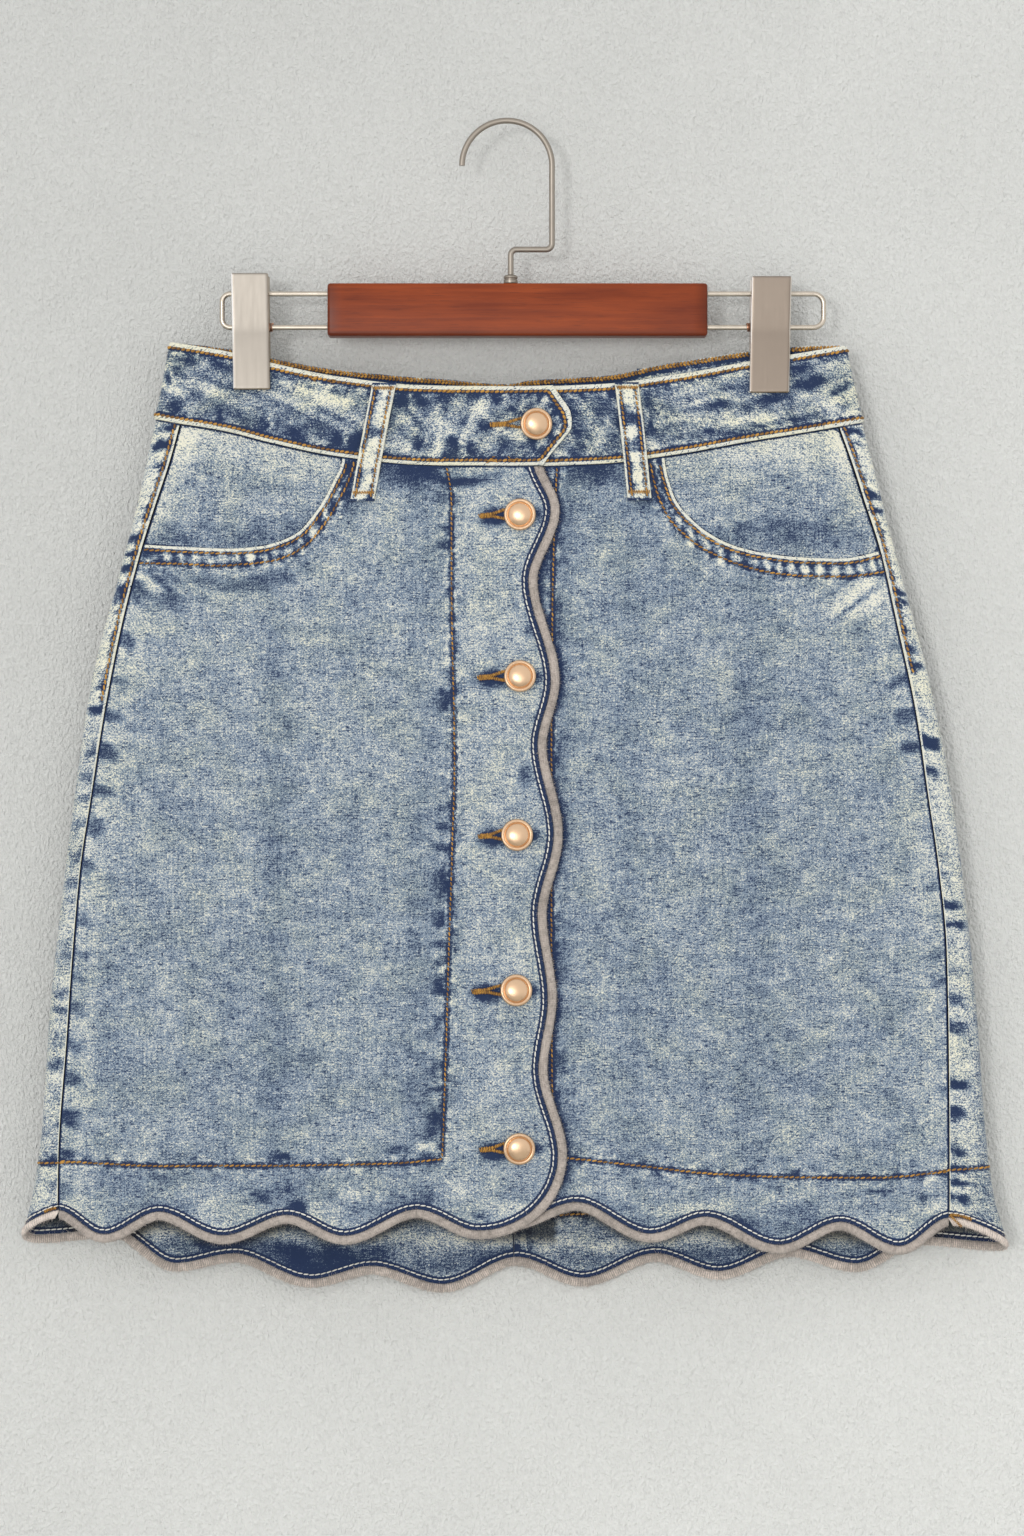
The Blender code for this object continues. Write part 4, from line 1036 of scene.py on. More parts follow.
def streaks(x, z, angle, length, width, seed):
    """Slanted streaks, from -1 to 1."""
    turn = math.radians(angle)
    along = x * math.cos(turn) + z * math.sin(turn)
    aside = z * math.cos(turn) - x * math.sin(turn)
    return noise(along / length, aside / width, seed)


def pocket_zone(x, z, scooped, outer_row):
    """1 between the two rows round a pocket, 0 away from them."""
    flat = pair(x, z)
    near = np.maximum(distance(flat, evenly(scooped, 4)), distance(flat, evenly(outer_row, 4)))
    return soft_step(-near, -12.5, -8.5)


def beside_seam(away, z, pitch, seed):
    """Dark blotches at a seam, uneven in size and spacing, in paler cloth."""
    beat = z / pitch + 0.8 * noise(z / (2.3 * pitch), 0.3, seed)
    size = np.clip(0.7 + 0.75 * noise(z / (1.1 * pitch), 5.1, seed + 1), 0.15, 1.25)
    reach = 1 - soft_step(away, 2.0 + 4.0 * size, 6.0 + 7.0 * size)
    dark = np.clip(1.9 * np.cos(2 * math.pi * beat + away / 9) - 0.2
                   + 1.1 * noise(away / 4.5, z / 4.0, seed + 2), 0, 1)
    return 0.6 * (1 - soft_step(away, 9, 20)) - 2.0 * dark * size * reach


def blotch(x, z, at_x, at_z, wide, tall, degrees=0.0):
    """1 in the middle of a slanted oval, 0 outside it."""
    turn = math.radians(degrees)
    along = (x - at_x) * math.cos(turn) + (z - at_z) * math.sin(turn)
    aside = (z - at_z) * math.cos(turn) - (x - at_x) * math.sin(turn)
    return soft_bell(np.hypot(along / wide, aside / tall), 1.25)


HEM_MARKS = (
    ("x", "z", "long", "wide", "degrees", "tone"),
    (-112, -583.5, 7, 4.6, 0, -1.7), (-118.5, -572, 7, 1.8, -70, -0.8),
    (-133, -578, 9, 3.5, -28, -0.5),
    (-119.5, -556.5, 8, 2.6, 0, -1.1), (-184, -585, 5, 2, 0, -1.1), (-189, -568, 12, 2.6, 0, -0.6),
    (-218, -571, 3.5, 1.4, 0, -0.8), (-106.5, -570, 7, 0.9, 88, 0.8),
    (-59, -552.5, 9, 2.6, 5, -0.8),
    (-1, -591, 6.5, 2.6, 12, -1.4), (-13, -587, 6, 2, 0, -0.9), (50, -577, 5, 3, 0, -0.7),
    (40, -578.5, 5, 1.8, -20, -1.0), (126, -592, 7, 3, -28, -1.3), (132, -598, 4.5, 2, -32, -1.3),
    (127, -566, 3, 4, 80, -1.0), (155.5, -565, 4.5, 2.6, 0, -1.0), (144, -574, 10, 2, -15, -0.7),
    (201, -576, 12, 2.4, -10, -0.7), (225, -580, 5.5, 2.4, -15, -0.9), (147, -558, 4, 1.6, 0, -0.7),
    (-45, -551, 9, 3, 8, 0.8),
)


def marks_of(table, x, z, seed=64):
    """Dark and pale marks of a table, with ragged edges."""
    ragged_x = x + 1.4 * noise(x / 3.4, z / 3.4, seed)
    ragged_z = z + 1.4 * noise(x / 3.4, z / 3.4, seed + 1)
    return sum(row[5] * blotch(ragged_x, ragged_z, *row[:5]) for row in table[1:])


def lap_x(z):
    return centre_front_x(np.clip(z, CENTRE_FRONT_EDGE[1][0], LAP_TOP))


def wash_front_right(x, z):
    row = column(PLACKET_ROW, "x")(z)
    beside = (np.clip(noise(x / 9, z / 5.2, 41) * 3.0 - 0.5, 0, 1) * soft_bell(x - row + 4.5, 8.5)
              * (x < row + 2))
    bands = soft_bell(x + 124, 15) * 0.16 + soft_bell(x + 47, 14) * 0.14
    zone = pocket_zone(x, z, scoop_line(-1), line_of(POCKET_ROW_RIGHT))
    corner = soft_bell(np.hypot(x + 188, (z + 252) * 1.4), 30)
    rays = streaks(x, z, -38, 22, 3.2, 43)
    upper = soft_bell(np.hypot((x + 84) * 1.6, z + 196), 24)
    below = (soft_step(z, -268, -244) * soft_step(-x, 96, 120)
             * np.clip(noise(x / 15, z / 4.5, 44) * 1.6, 0, 1))
    hem = soft_step(-z, 545, 590) * 0.3 * noise(x / 26, z / 8, 45) + marks_of(HEM_MARKS, x, z)
    hem = hem - 0.03 - 0.09 * soft_step(-z, 220, 560)
    side = beside_seam(np.abs(x - seam_x[-1](z)), z, 21.0, 46) * 0.4
    lap = soft_step(x, -30, -18) * 0.11
    middle = -194.3 + np.where(x < -24, 3.2 * ((x + 24) / 18) ** 2, 4.7 * ((x + 24) / 24) ** 2)
    crease = 1.5 * soft_bell(z - middle, 4.2) * soft_bell(x + 24, 32)
    crease = crease + blotch(x, z, -40, -186, 8, 4)
    above = blotch(x, z, 10.0, -352, 5.0, 9.0) + blotch(x, z, 12.0, -275, 3.0, 6.0)
    return (-0.8 * beside - bands + zone * (0.15 + 0.95 * puckers(z, x, 7.5, 42)) + corner * rays
            - upper * 0.7 - 0.5 * below + hem + side + lap - 0.9 * below_band(x, z) - crease
            - 0.8 * above - buttonhole_shade(x, z))


def buttonhole_shade(x, z):
    """Darker cloth round each buttonhole and just right of its button."""
    total = np.zeros_like(x)
    for bx, bz, start in BUTTONS[1:]:
        end = bx - HOLE_END
        middle, half = (start + end) / 2, (end - start) / 2
        total = total + 1.9 * blotch(x, z, middle, bz - 1.5, half + 3.0, 6.2)
        total = total + 1.2 * blotch(x, z, bx + 9.5, bz, 3.0, 4.5)
    return np.minimum(total, 1.4)


def wash_and_shade_front_left(x, z):
    bands = soft_bell(x - 132, 18) * 0.14 + soft_bell(x - 66, 14) * 0.12
    zone = pocket_zone(x, z, scoop_line(1), line_of(POCKET_ROW_LEFT))
    corner = soft_bell(np.hypot(x - 186, (z + 258) * 1.4), 32)
    rays = streaks(x, z, 38, 22, 3.2, 53)
    upper = soft_bell(np.hypot((x - 78) * 1.5, z + 196), 24)
    # Painted shade on the under-lap beside the over-lap's edge, in part the navy of the cloth there,
    # and a painted shadow close along that edge above the hem.
    lap = soft_bell(x - 22, 20) * (0.3 + 0.4 * noise(x / 9, z / 12, 54))
    shadow = 1.1 * (1 - soft_step(x - lap_x(z) - 5.0, 0.5, 4.5)) * soft_step(z, -575, -560)
    hem = soft_step(-z, 545, 590) * 0.3 * noise(x / 26, z / 8, 55)
    hem = hem + marks_of(HEM_MARKS, x, z) - 0.09
    side = beside_seam(np.abs(x - seam_x[1](z)), z, 19.0, 56) * 0.33
    return (-bands + zone * (0.15 + 0.95 * puckers(z, x, 7.5, 52)) + corner * rays
            - upper * 0.7 - lap - shadow + hem + side - 0.9 * below_band(x, z))


def wash_facing(x, z):
    side = np.where(x < 0, -1, 1)
    from_seam = np.abs(x - np.where(side < 0, seam_x[-1](z), seam_x[1](z)))
    high = soft_step(z, -196, -168)
    low = soft_bell(z + 222, 14)
    return (0.5 * high + 0.4 * soft_bell(from_seam, 16)
            - 0.55 * low * (0.7 + 0.5 * noise(x / 9, z / 7, 61)))


def wash_back(p, z):
    side = np.where(p < 0, -1, 1)
    away = np.abs(np.where(side > 0, seam_p(1, z), seam_p(-1, z)) - np.abs(p))
    left = side > 0
    strong = np.where(left, 0.75, 0.4) + np.where(left, 0.25, 0.6) * soft_step(z, -370, -300)
    marks = strong * np.where(left, beside_seam(away, z, np.where(z > -300, 9.0, 15.0), 71),
                              beside_seam(away, z, 13.5, 77))
    centre = soft_bell(p, 16) * 0.5 * puckers(p, z, 13, 73)
    bands = 0.16 * noise(p / 30, z / 220, 74)
    hem = soft_step(-z, 560, 620) * 0.3 * noise(p / 24, z / 10, 75)
    line = -604.0 - 9.0 * soft_bell(p - 20, 200) + 1.5 * noise(p / 17, 0.2, 78)
    reverse = np.abs(p) < flat_half(z)
    deep = (soft_step(line - z, -3.0, 3.5) * (1.0 + 0.35 * noise(p / 9, z / 5, 79))
            * np.clip(0.72 + 1.5 * noise(p / 27, z / 30, 85), 0.15, 1.25))
    pale = soft_bell(z - line - 6.5, 5.5) * (0.3 + 0.35 * noise(p / 21, z / 40, 76))
    return marks + centre - np.abs(bands) + hem + np.where(reverse, pale - 0.8 * deep, 0.0)


def hem_gloom(p, z):
    """Depth of the shade on the back's inner face, close under the front's edging."""
    x = ring_x(p, z)
    front = np.where(x < lap_x(-590), column(HEM_FRONT_RIGHT, "z")(x),
                     column(HEM_FRONT_LEFT, "z")(x))
    below = front - TRIM_WIDTH - EDGE_UNDER - 2.6 - z
    crest = soft_step(front, -601, -592)
    return (1 - soft_step(below, -1.0 + 1.5 * crest, 3.5 + 5.5 * crest)) * (0.6 + 0.4 * crest)


BAND_MARKS = (
    ("x", "z", "long", "wide", "degrees", "tone"),
    # wearer's right
    (-170, -127, 5.5, 4, -25, -1.6), (-177, -134, 6.5, 2.6, -38, -1.5),
    (-183, -138, 4.6, 2.4, 82, -1.6), (-180, -153, 4.6, 3.8, -10, -1.5),
    (-155, -130, 10, 3.4, -36, -1.2),
    (-154.5, -159.5, 6, 2.2, 90, -1.0), (-131, -164, 6.5, 2.4, 87, -1.6),
    (-92, -145.5, 8, 3, -20, -1.1), (-123, -137, 9, 3.2, -14, -0.9),
    (-115, -167, 5.5, 3.2, 80, -0.9),
    (-92, -171, 6.5, 2.8, 95, -1.6), (-80, -171, 6.5, 5.5, 60, -1.6), (-74, -146, 6, 2.6, 90, -1.1),
    (-100, -147.5, 18, 2.4, -17, 0.6), (-127.5, -161, 5, 1.8, 88, 0.8),
    (-87, -170, 5, 1.5, 75, 1.0),
    # middle
    (-57, -150, 7.5, 4.6, 70, -1.8), (-47, -149.5, 6, 2.5, -42, -1.6),
    (-47, -175, 5.5, 4.4, 90, -1.7), (-29.5, -175, 6.5, 5.4, 80, -1.6),
    (-19.5, -177, 3.5, 2.4, 90, -1.2), (-5.6, -149.5, 5.5, 4.4, 90, -1.8),
    (16.6, -149, 5, 1.8, 80, -1.2), (4, -157.2, 5.5, 1.9, -5, -1.4),
    (14.5, -175, 7.5, 2.6, -62, -1.8), (27, -159, 5, 2, -18, -1.5), (25, -171, 3.5, 2, 40, -1.1),
    (-22, -148, 12, 3.4, 0, -0.8), (-11, -164, 5.5, 3, 0, -1.3), (-37, -173.5, 7.5, 1.7, 65, 1.3),
    (-23.5, -172.5, 6, 1.8, -84, 1.0), (0, -169, 13, 2.2, -22, 1.2), (-14, -154.5, 6, 2.6, 5, 0.9),
    # wearer's left
    (55.5, -148, 5.5, 3.2, 85, -1.5), (60.5, -166.5, 6, 2, 85, -1.2), (75.5, -149, 7, 3, 85, -1.6),
    (77.5, -163, 9, 3.2, 85, -1.5), (114, -152, 10, 4.4, 18, -1.0), (144, -149, 16, 4.6, 10, -1.4),
    (164, -140.5, 11, 4.8, 8, -1.8), (180, -143.5, 7.5, 3.4, 32, -1.8),
    (130, -154.5, 5, 2.4, 5, -1.2),
    (131.5, -161.5, 4, 2.2, 15, -1.2), (109.5, -166.6, 2.6, 2.2, -20, -1.2),
    (93, -170, 3.2, 2, -60, -1.0),
    (157, -160, 7, 2, 10, -1.1), (182, -155, 5, 2.2, 35, -1.0), (156, -132.5, 3.5, 3, 0, -1.0),
    (128, -161, 24, 2.6, 9, 0.9), (172, -152, 8, 2.6, 14, 0.8),
)


def wash_band(p, z):
    x = ring_x(p, z)
    down = (band_top(x) - z) / BAND_HEIGHT
    front = np.abs(p) > flat_half(z)
    slant = np.where(x > 0, streaks(x, z, 13, 24, 3.4, 82), streaks(x, z, -24, 22, 3.2, 81))
    flames = np.maximum(streaks(x, z, 60, 13, 3.2, 87), streaks(x, z, -46, 13, 3.2, 88)) - 0.3
    ends = soft_step(np.abs(x), 66, 95)
    level = np.where(x < -70, -0.1, np.where(x > 70, -0.09, -0.18 - 0.14 * soft_step(x, 24, 34)))
    foot = (soft_step(down, 0.62, 0.9) * soft_step(-x, 66, 80)
            * np.clip(noise(x / 5.2, z / 60, 83) * 2.6 - 0.4, 0, 1))
    rear = 1.3 * soft_step(down, 0.66, 0.86) * np.clip(noise(x / 4.6, z / 30, 83) * 3.0 - 0.6, 0, 1)
    marks = level + (0.7 + 0.15 * (1 - ends)) * (ends * slant + (1 - ends) * flames)
    marks = marks + np.where(front, marks_of(BAND_MARKS, x, z) - 0.8 * foot, -rear)
    bx, bz, _ = BUTTONS[1]
    apart, turn = np.hypot(x - bx, z - bz), np.arctan2(z - bz, x - bx)
    rays = soft_bell(apart, 17) * np.clip(noise(turn * 2.6, apart / 60, 84) * 2.4, -0.7, 0.9)
    return np.clip(marks + np.where(front, rays, 0), -1.6, 0.95)


def below_band(x, z):
    """Dark cloth just under the waistband beside the belt loops and the placket."""
    drop = band_seam(x, False) - z
    beside = soft_bell(x + 56, 30) + soft_bell(x - 47, 24)
    return soft_step(-drop, -17 - 5 * noise(x / 8, 0.3, 35), -4) * beside


# ---------------------------------------------------------------- materials

class Graph:
    """Adds nodes to a tree and joins them as they are made."""

    def __init__(self, tree):
        self.tree = tree

    def add(self, kind, values=None, **settings):
        node = self.tree.nodes.new(kind)
        for key, value in settings.items():
            setattr(node, key, value)
        for key, value in (values or {}).items():
            if isinstance(value, bpy.types.NodeSocket):
                self.tree.links.new(value, node.inputs[key])
            else:
                node.inputs[key].default_value = value
        return node

    def math(self, operation, a, b=0.0, c=0.0):
        return self.add("ShaderNodeMath", {0: a, 1: b, 2: c}, operation=operation).outputs[0]

    def times(self, a, b):
        return self.math("MULTIPLY", a, b)

    def scaled_sum(self, value, factor, base):
        return self.math("MULTIPLY_ADD", value, factor, base)

    def scaled(self, vector, scale, degrees=0.0):
        for settings in ({"Rotation": (0, 0, math.radians(degrees))}, {"Scale": scale}):
            vector = self.add("ShaderNodeMapping", {"Vector": vector, **settings}).outputs[0]
        return vector

    def grain(self, vector, scale=1.0, detail=2.0, rough=0.5):
        """Noise centred on 0."""
        made = self.add("ShaderNodeTexNoise", {"Vector": vector, "Scale": scale, "Detail": detail,
                                               "Roughness": rough})
        return self.math("SUBTRACT", made.outputs["Fac"], 0.5)

    def ramp(self, value, start, end, low=0.0, high=1.0):
        return self.add("ShaderNodeMapRange", {0: value, 1: start, 2: end, 3: low, 4: high},
                        interpolation_type="SMOOTHSTEP").outputs["Result"]

    def mix(self, share, a, b, blend_type="MIX"):
        """Mixes colours, given as sockets or as three numbers."""
        a, b = (colour if isinstance(colour, bpy.types.NodeSocket) else (*colour, 1)
                for colour in (a, b))
        return self.add("ShaderNodeMix", {0: share, 6: a, 7: b}, data_type="RGBA",
                        blend_type=blend_type).outputs[2]

    def blend(self, share, a, b):
        return self.add("ShaderNodeMix", {0: share, 2: a, 3: b}, data_type="FLOAT").outputs[0]

    def attribute(self, name):
        return self.add("ShaderNodeAttribute", attribute_name=name).outputs["Fac"]

    def place(self):
        return self.add("ShaderNodeTexCoord").outputs["Object"]

    def parts(self, vector):
        return self.add("ShaderNodeSeparateXYZ", {0: vector}).outputs


def new_group(name, inputs, outputs):
    """A shader node group with named sockets; inputs are (name, kind, default)."""
    tree = bpy.data.node_groups.new(name, "ShaderNodeTree")
    for label, kind, default in inputs:
        socket = tree.interface.new_socket(label, in_out="INPUT", socket_type=kind)
        if default is not None:
            socket.default_value = default
    for label, kind in outputs:
        tree.interface.new_socket(label, in_out="OUTPUT", socket_type=kind)
    return tree, tree.nodes.new("NodeGroupInput").outputs, tree.nodes.new("NodeGroupOutput").inputs


def washed_denim_group():
    """Acid-washed denim: grain, slubs and mottling from indigo to cream, marked by its sewing, with
    painted shadow lines at its tucks and edging and painted shade on its inner face.
    """
    found = bpy.data.node_groups.get("washed_denim")
    if found:
        return found
    colour, number, vector = "NodeSocketColor", "NodeSocketFloat", "NodeSocketVector"
    tree, given, out = new_group("washed_denim", (
        ("Millimetres", vector, None), ("Row", number, FAR), ("Fold", number, FAR),
        ("Tuck", number, FAR), ("Wash", number, 0.0), ("Inner", number, 0.0),
        ("Tone", number, 0.5), ("Contrast", number, 1.0), ("Halo", number, 0.5),
        ("Worn", number, 1.6), ("Warmth", number, 0.5), ("Gloom", number, 0.0),
        ("Indigo", colour, None), ("Faded", colour, None), ("Cream", colour, None)),
        (("Color", colour), ("Height", number)))
    g = Graph(tree)
    mm = given["Millimetres"]
    broad = g.grain(mm, 0.03, 3.0, 0.55)
    patch = g.grain(g.scaled(mm, (0.09, 0.17, 1)), 1.0, 2.0)
    warp = g.grain(g.scaled(mm, (0.85, 0.06, 1)), 1.0, 2.0)
    slub = g.grain(g.scaled(mm, (0.24, 1.3, 1)), 1.0, 1.0)
    rise = g.grain(g.scaled(mm, (0.3, 1.25, 1), 48), 1.0, 1.0)
    fall = g.grain(g.scaled(mm, (0.3, 1.25, 1), -42), 1.0, 1.0)
    salt = g.grain(mm, 1.05, 2.0, 0.7)
    fine = g.grain(mm, 2.1, 1.0)
    tone = given["Tone"]
    for value, amount in ((broad, 0.5), (patch, 0.8), (warp, 0.6), (rise, 0.75), (fall, 0.75),
                          (slub, 0.75), (salt, 2.15), (fine, 1.1)):
        tone = g.scaled_sum(value, g.times(given["Contrast"], amount), tone)
    tone = g.scaled_sum(g.ramp(slub, -0.12, -0.19), -0.3, tone)
    ragged = g.scaled_sum(rise, 0.6, g.times(salt, 0.5))
    # Wash carries the wash marks, and on the under-lap painted shade beside the over-lap.
    wash = g.times(given["Wash"], g.scaled_sum(ragged, 2.4, 1.0))
    tone = g.scaled_sum(wash, 0.6, tone)
    zone = g.ramp(given["Row"], 7.5, 1.2)
    pucker = g.grain(mm, 0.17, 2.0)
    tone = g.scaled_sum(g.times(zone, pucker), 1.8, tone)
    jag = g.scaled_sum(g.grain(mm, 0.4, 1.0), 3.2, given["Row"])
    tone = g.math("SUBTRACT", tone, g.times(g.ramp(jag, 2.1, 1.0), given["Halo"]))
    edge = g.scaled_sum(salt, 1.1, g.math("SUBTRACT", given["Fold"], given["Worn"]))
    worn = g.times(g.ramp(edge, 0.25, -0.3), g.scaled_sum(given["Inner"], -0.85, 1.0))
    nick = g.ramp(g.grain(g.scaled(mm, (0.55, 1.9, 1), 35), 1.0, 0.0), 0.1, 0.2)
    worn = g.times(worn, g.math("SUBTRACT", 1.0, g.times(nick, 0.75)))
    tone = g.blend(worn, tone, g.scaled_sum(salt, 0.5, 0.9))
    # Painted shadow line where the cloth runs under another piece and beside the edging, in part the
    # unfaded indigo there.
    tuck = g.scaled_sum(salt, 1.2, given["Tuck"])
    tone = g.scaled_sum(g.ramp(tuck, 0.9, 0.3), -1.1, tone)
    tone = g.scaled_sum(given["Inner"], -0.03, tone)
    dark_to_mid = g.mix(g.ramp(tone, 0.0, 0.5), given["Indigo"], given["Faded"])
    shown = g.mix(g.ramp(tone, 0.45, 1.0), dark_to_mid, given["Cream"])
    yellowed = g.times(g.ramp(g.grain(mm, 0.045, 2.0), -0.12, 0.2), given["Warmth"])
    warm = g.mix(yellowed, shown, (1.05, 1.02, 0.86), "MULTIPLY")
    # Painted shade, near black, on the inner face close under the front's edging.
    painted_inner_shade = g.times(g.times(given["Gloom"], given["Inner"]), 0.9)
    join(g, g.mix(painted_inner_shade, warm, (0.008, 0.009, 0.013)), out["Color"])
    lines = g.add("ShaderNodeTexWave", {"Vector": g.scaled(mm, (1, 1, 1), 30), "Scale": 0.36,
                                        "Distortion": 1.2, "Detail": 1.0, "Detail Scale": 1.2})
    height = g.scaled_sum(lines.outputs["Fac"], 0.12, g.times(salt, 0.5))
    height = g.scaled_sum(slub, 0.25, height)
    height = g.scaled_sum(g.times(zone, pucker), 1.2, height)
    join(g, height, out["Height"])
    return tree


def new_material(name, roughness, metallic=0.0, **sockets):
    """A material with its Principled shader, and a graph to add to it."""
    made = bpy.data.materials.new(name)
    made.use_nodes = True
    shader = made.node_tree.nodes["Principled BSDF"]
    shader.inputs["Roughness"].default_value = roughness
    shader.inputs["Metallic"].default_value = metallic
    for key, value in sockets.items():
        shader.inputs[key.replace("_", " ")].default_value = value
    return made, shader, Graph(made.node_tree)


def join(graph, output, socket):
    graph.tree.links.new(output, socket)


def bumped(graph, shader, height, distance, strength=1.0):
    bump = graph.add("ShaderNodeBump", {"Height": height, "Distance": distance,
                                        "Strength": strength})
    join(graph, bump.outputs[0], shader.inputs["Normal"])


def found_or_made(make):
    """Makes a material once for each name."""
    def given(name, *rest, **settings):
        return bpy.data.materials.get(name) or make(name, *rest, **settings)
    return given


@found_or_made
def denim(name, tone, contrast, halo=0.5, worn=1.6, warmth=0.45):
    """Denim of one part of the skirt."""
    cloth = bpy.context.scene.skirt_cloth
    made, shader, g = new_material(name, 0.88, Sheen_Weight=0.12, Sheen_Roughness=0.6,
                                   Specular_IOR_Level=0.25)
    flat = g.add("ShaderNodeUVMap", uv_map="cloth").outputs[0]
    values = {"Millimetres": g.scaled(flat, (1000, 1000, 1000)), "Tone": tone,
              "Contrast": contrast, "Halo": halo, "Worn": worn, "Warmth": warmth,
              "Indigo": (*cloth.indigo, 1), "Faded": (*cloth.faded, 1),
              "Cream": (*cloth.cream, 1)}
    for key in ("Row", "Fold", "Tuck", "Wash", "Gloom", "Inner"):
        values[key] = g.attribute(key.lower())
    group = g.add("ShaderNodeGroup", values, node_tree=washed_denim_group())
    join(g, group.outputs["Color"], shader.inputs["Base Color"])
    bumped(g, shader, group.outputs["Height"], 0.0003)
    return made


@found_or_made
def thread(name, dark, light, roughness=0.62):
    """Sewing thread, each stitch a little different."""
    made, shader, g = new_material(name, roughness)
    fibre = g.grain(g.place(), 2600.0, 2.0)
    share = g.scaled_sum(fibre, 1.6, g.attribute("shade"))
    join(g, g.mix(share, dark, light), shader.inputs["Base Color"])
    bumped(g, shader, fibre, 0.0002)
    return made


def orange_thread():
    sewing = bpy.context.scene.skirt_sewing
    return thread("orange_thread", sewing.orange_dark, sewing.orange)


def white_thread():
    white = bpy.context.scene.skirt_sewing.white
    return thread("white_thread", [0.72 * c for c in white], white)


@found_or_made
def plush(name, pale=1.0):
    trim = bpy.context.scene.skirt_trim
    # pale above 1 gives a paler copy of the nap: painted light for edging that lies in shade.
    dark, light = ([min(1.0, pale * c) for c in colour] for colour in (trim.dark, trim.light))
    made, shader, g = new_material(name, 0.95, Sheen_Weight=0.35, Sheen_Roughness=0.5)
    nap = g.grain(g.place(), 850.0, 4.0, 0.8)
    share = g.scaled_sum(nap, 2.0, g.attribute("shade"))
    join(g, g.mix(share, dark, light), shader.inputs["Base Color"])
    bumped(g, shader, nap, 0.0012)
    return made


@found_or_made
def metal(name, colour, roughness, brushed, tarnish=0.25):
    """Polished or satin metal with fine rubbing marks."""
    made, shader, g = new_material(name, roughness, 1.0)
    cloud = g.grain(g.place(), 120.0, 3.0)
    rubbed = g.grain(g.scaled(g.place(), brushed), 1.0, 2.0)
    darker = [c * (1 - tarnish) for c in colour]
    shown = g.mix(g.scaled_sum(cloud, 1.5, 0.7), darker, colour)
    join(g, shown, shader.inputs["Base Color"])
    join(g, g.scaled_sum(rubbed, 0.18, roughness), shader.inputs["Roughness"])
    bumped(g, shader, rubbed, 0.00003)
    return made


def metal_with_painted_edge_light(name, colour, left, right):
    """Satin metal with painted highlights on its eased upright edges, each side its own colour, and
    painted shade on its faces turned downwards.
    """
    made = metal(name, colour, 0.4, (500, 500, 30), 0.06)
    g = Graph(made.node_tree)
    socket = made.node_tree.nodes["Principled BSDF"].inputs["Base Color"]
    # Colour by the way each face turns: painted highlights on edges facing left and right, painted
    # shade in brown on faces turned downwards.
    across, _, up = g.parts(g.add("ShaderNodeNewGeometry").outputs["Normal"])
    shown = g.mix(g.ramp(across, -0.15, -0.45), socket.links[0].from_socket, left)
    shown = g.mix(g.ramp(across, 0.3, 0.6), shown, right)
    join(g, g.mix(g.ramp(up, -0.3, -0.6), shown, (0.36, 0.26, 0.16)), socket)
    return made


@found_or_made
def wood(name):
    hardware = bpy.context.scene.skirt_hardware
    made, shader, g = new_material(name, 0.45, Specular_IOR_Level=0.22, Coat_Weight=0.05,
                                   Coat_Roughness=0.25)
    where = g.place()
    long_grain = g.grain(g.scaled(where, (14, 200, 420)), 1.0, 4.0, 0.6)
    pores = g.ramp(g.grain(g.scaled(where, (90, 1400, 1900)), 1.0, 1.0), 0.1, 0.2)
    figure = g.grain(g.scaled(where, (22, 60, 60)), 1.0, 2.0)
    share = g.scaled_sum(long_grain, 1.7, g.scaled_sum(figure, 1.2, 0.56))
    base = g.mix(share, hardware.wood_dark, hardware.wood_light)
    low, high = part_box("hanger_bar")
    across, _, up = g.parts(where)
    # Darker towards the bar's ends, and painted shade along its lower edge; pores darken a little
    # everywhere.
    off_middle = g.math("ABSOLUTE", g.math("SUBTRACT", across, (low[0] + high[0]) / 2))
    ends = g.ramp(off_middle, 0.46 * (high[0] - low[0]), 0.5 * (high[0] - low[0]), 0.0, 0.4)
    foot = g.ramp(up, low[2] + 0.004, low[2] + 0.0015, 0.0, 0.45)
    pores_and_painted_shade = g.math("MAXIMUM", g.times(pores, 0.25), g.math("MAXIMUM", ends, foot))
    join(g, g.mix(pores_and_painted_shade, base, (0.03, 0.006, 0.004)), shader.inputs["Base Color"])
    join(g, g.scaled_sum(long_grain, 0.25, 0.36), shader.inputs["Roughness"])
    bumped(g, shader, long_grain, 0.0001)
    return made


# ---------------------------------------------------------------- sewing

def topstitch(sewing, cloth, line, width=1.15, length=2.5, space=0.45, height=0.75, slant=14.0,
              inner=False, lift=0.0):
    sewing.row(*cloth.path(line, inner), length, space, width, height, slant, lift)


def bartack(sewing, surface, x, z, level, across, tall=2.4):
    """A dense bar of stitches across a place, standing tall."""
    x, z = pair(np.linspace(x - across / 2, x + across / 2, 12), z).T
    sewing.satin(*laid(surface, x, z, level), tall, 0.42, 0.42, 0.7)


def tangle(sewing, surface, x, z, level, size, count, seed):
    """A knot of backtacked thread ends."""
    random = np.random.default_rng(seed)
    u = x + random.normal(0, size * 0.45, count)
    v = z + random.normal(0, size * 0.22, count)
    centre = surface(u, v, level + random.uniform(0, 0.5, count))
    up = laid(surface, u, v, level)[1]
    angle = random.normal(0, 0.55, count)
    along = np.stack([np.cos(angle), np.zeros(count), np.sin(angle)], -1)
    sewing.add(centre, along, up, (size * 0.5, 0.5, 0.5))


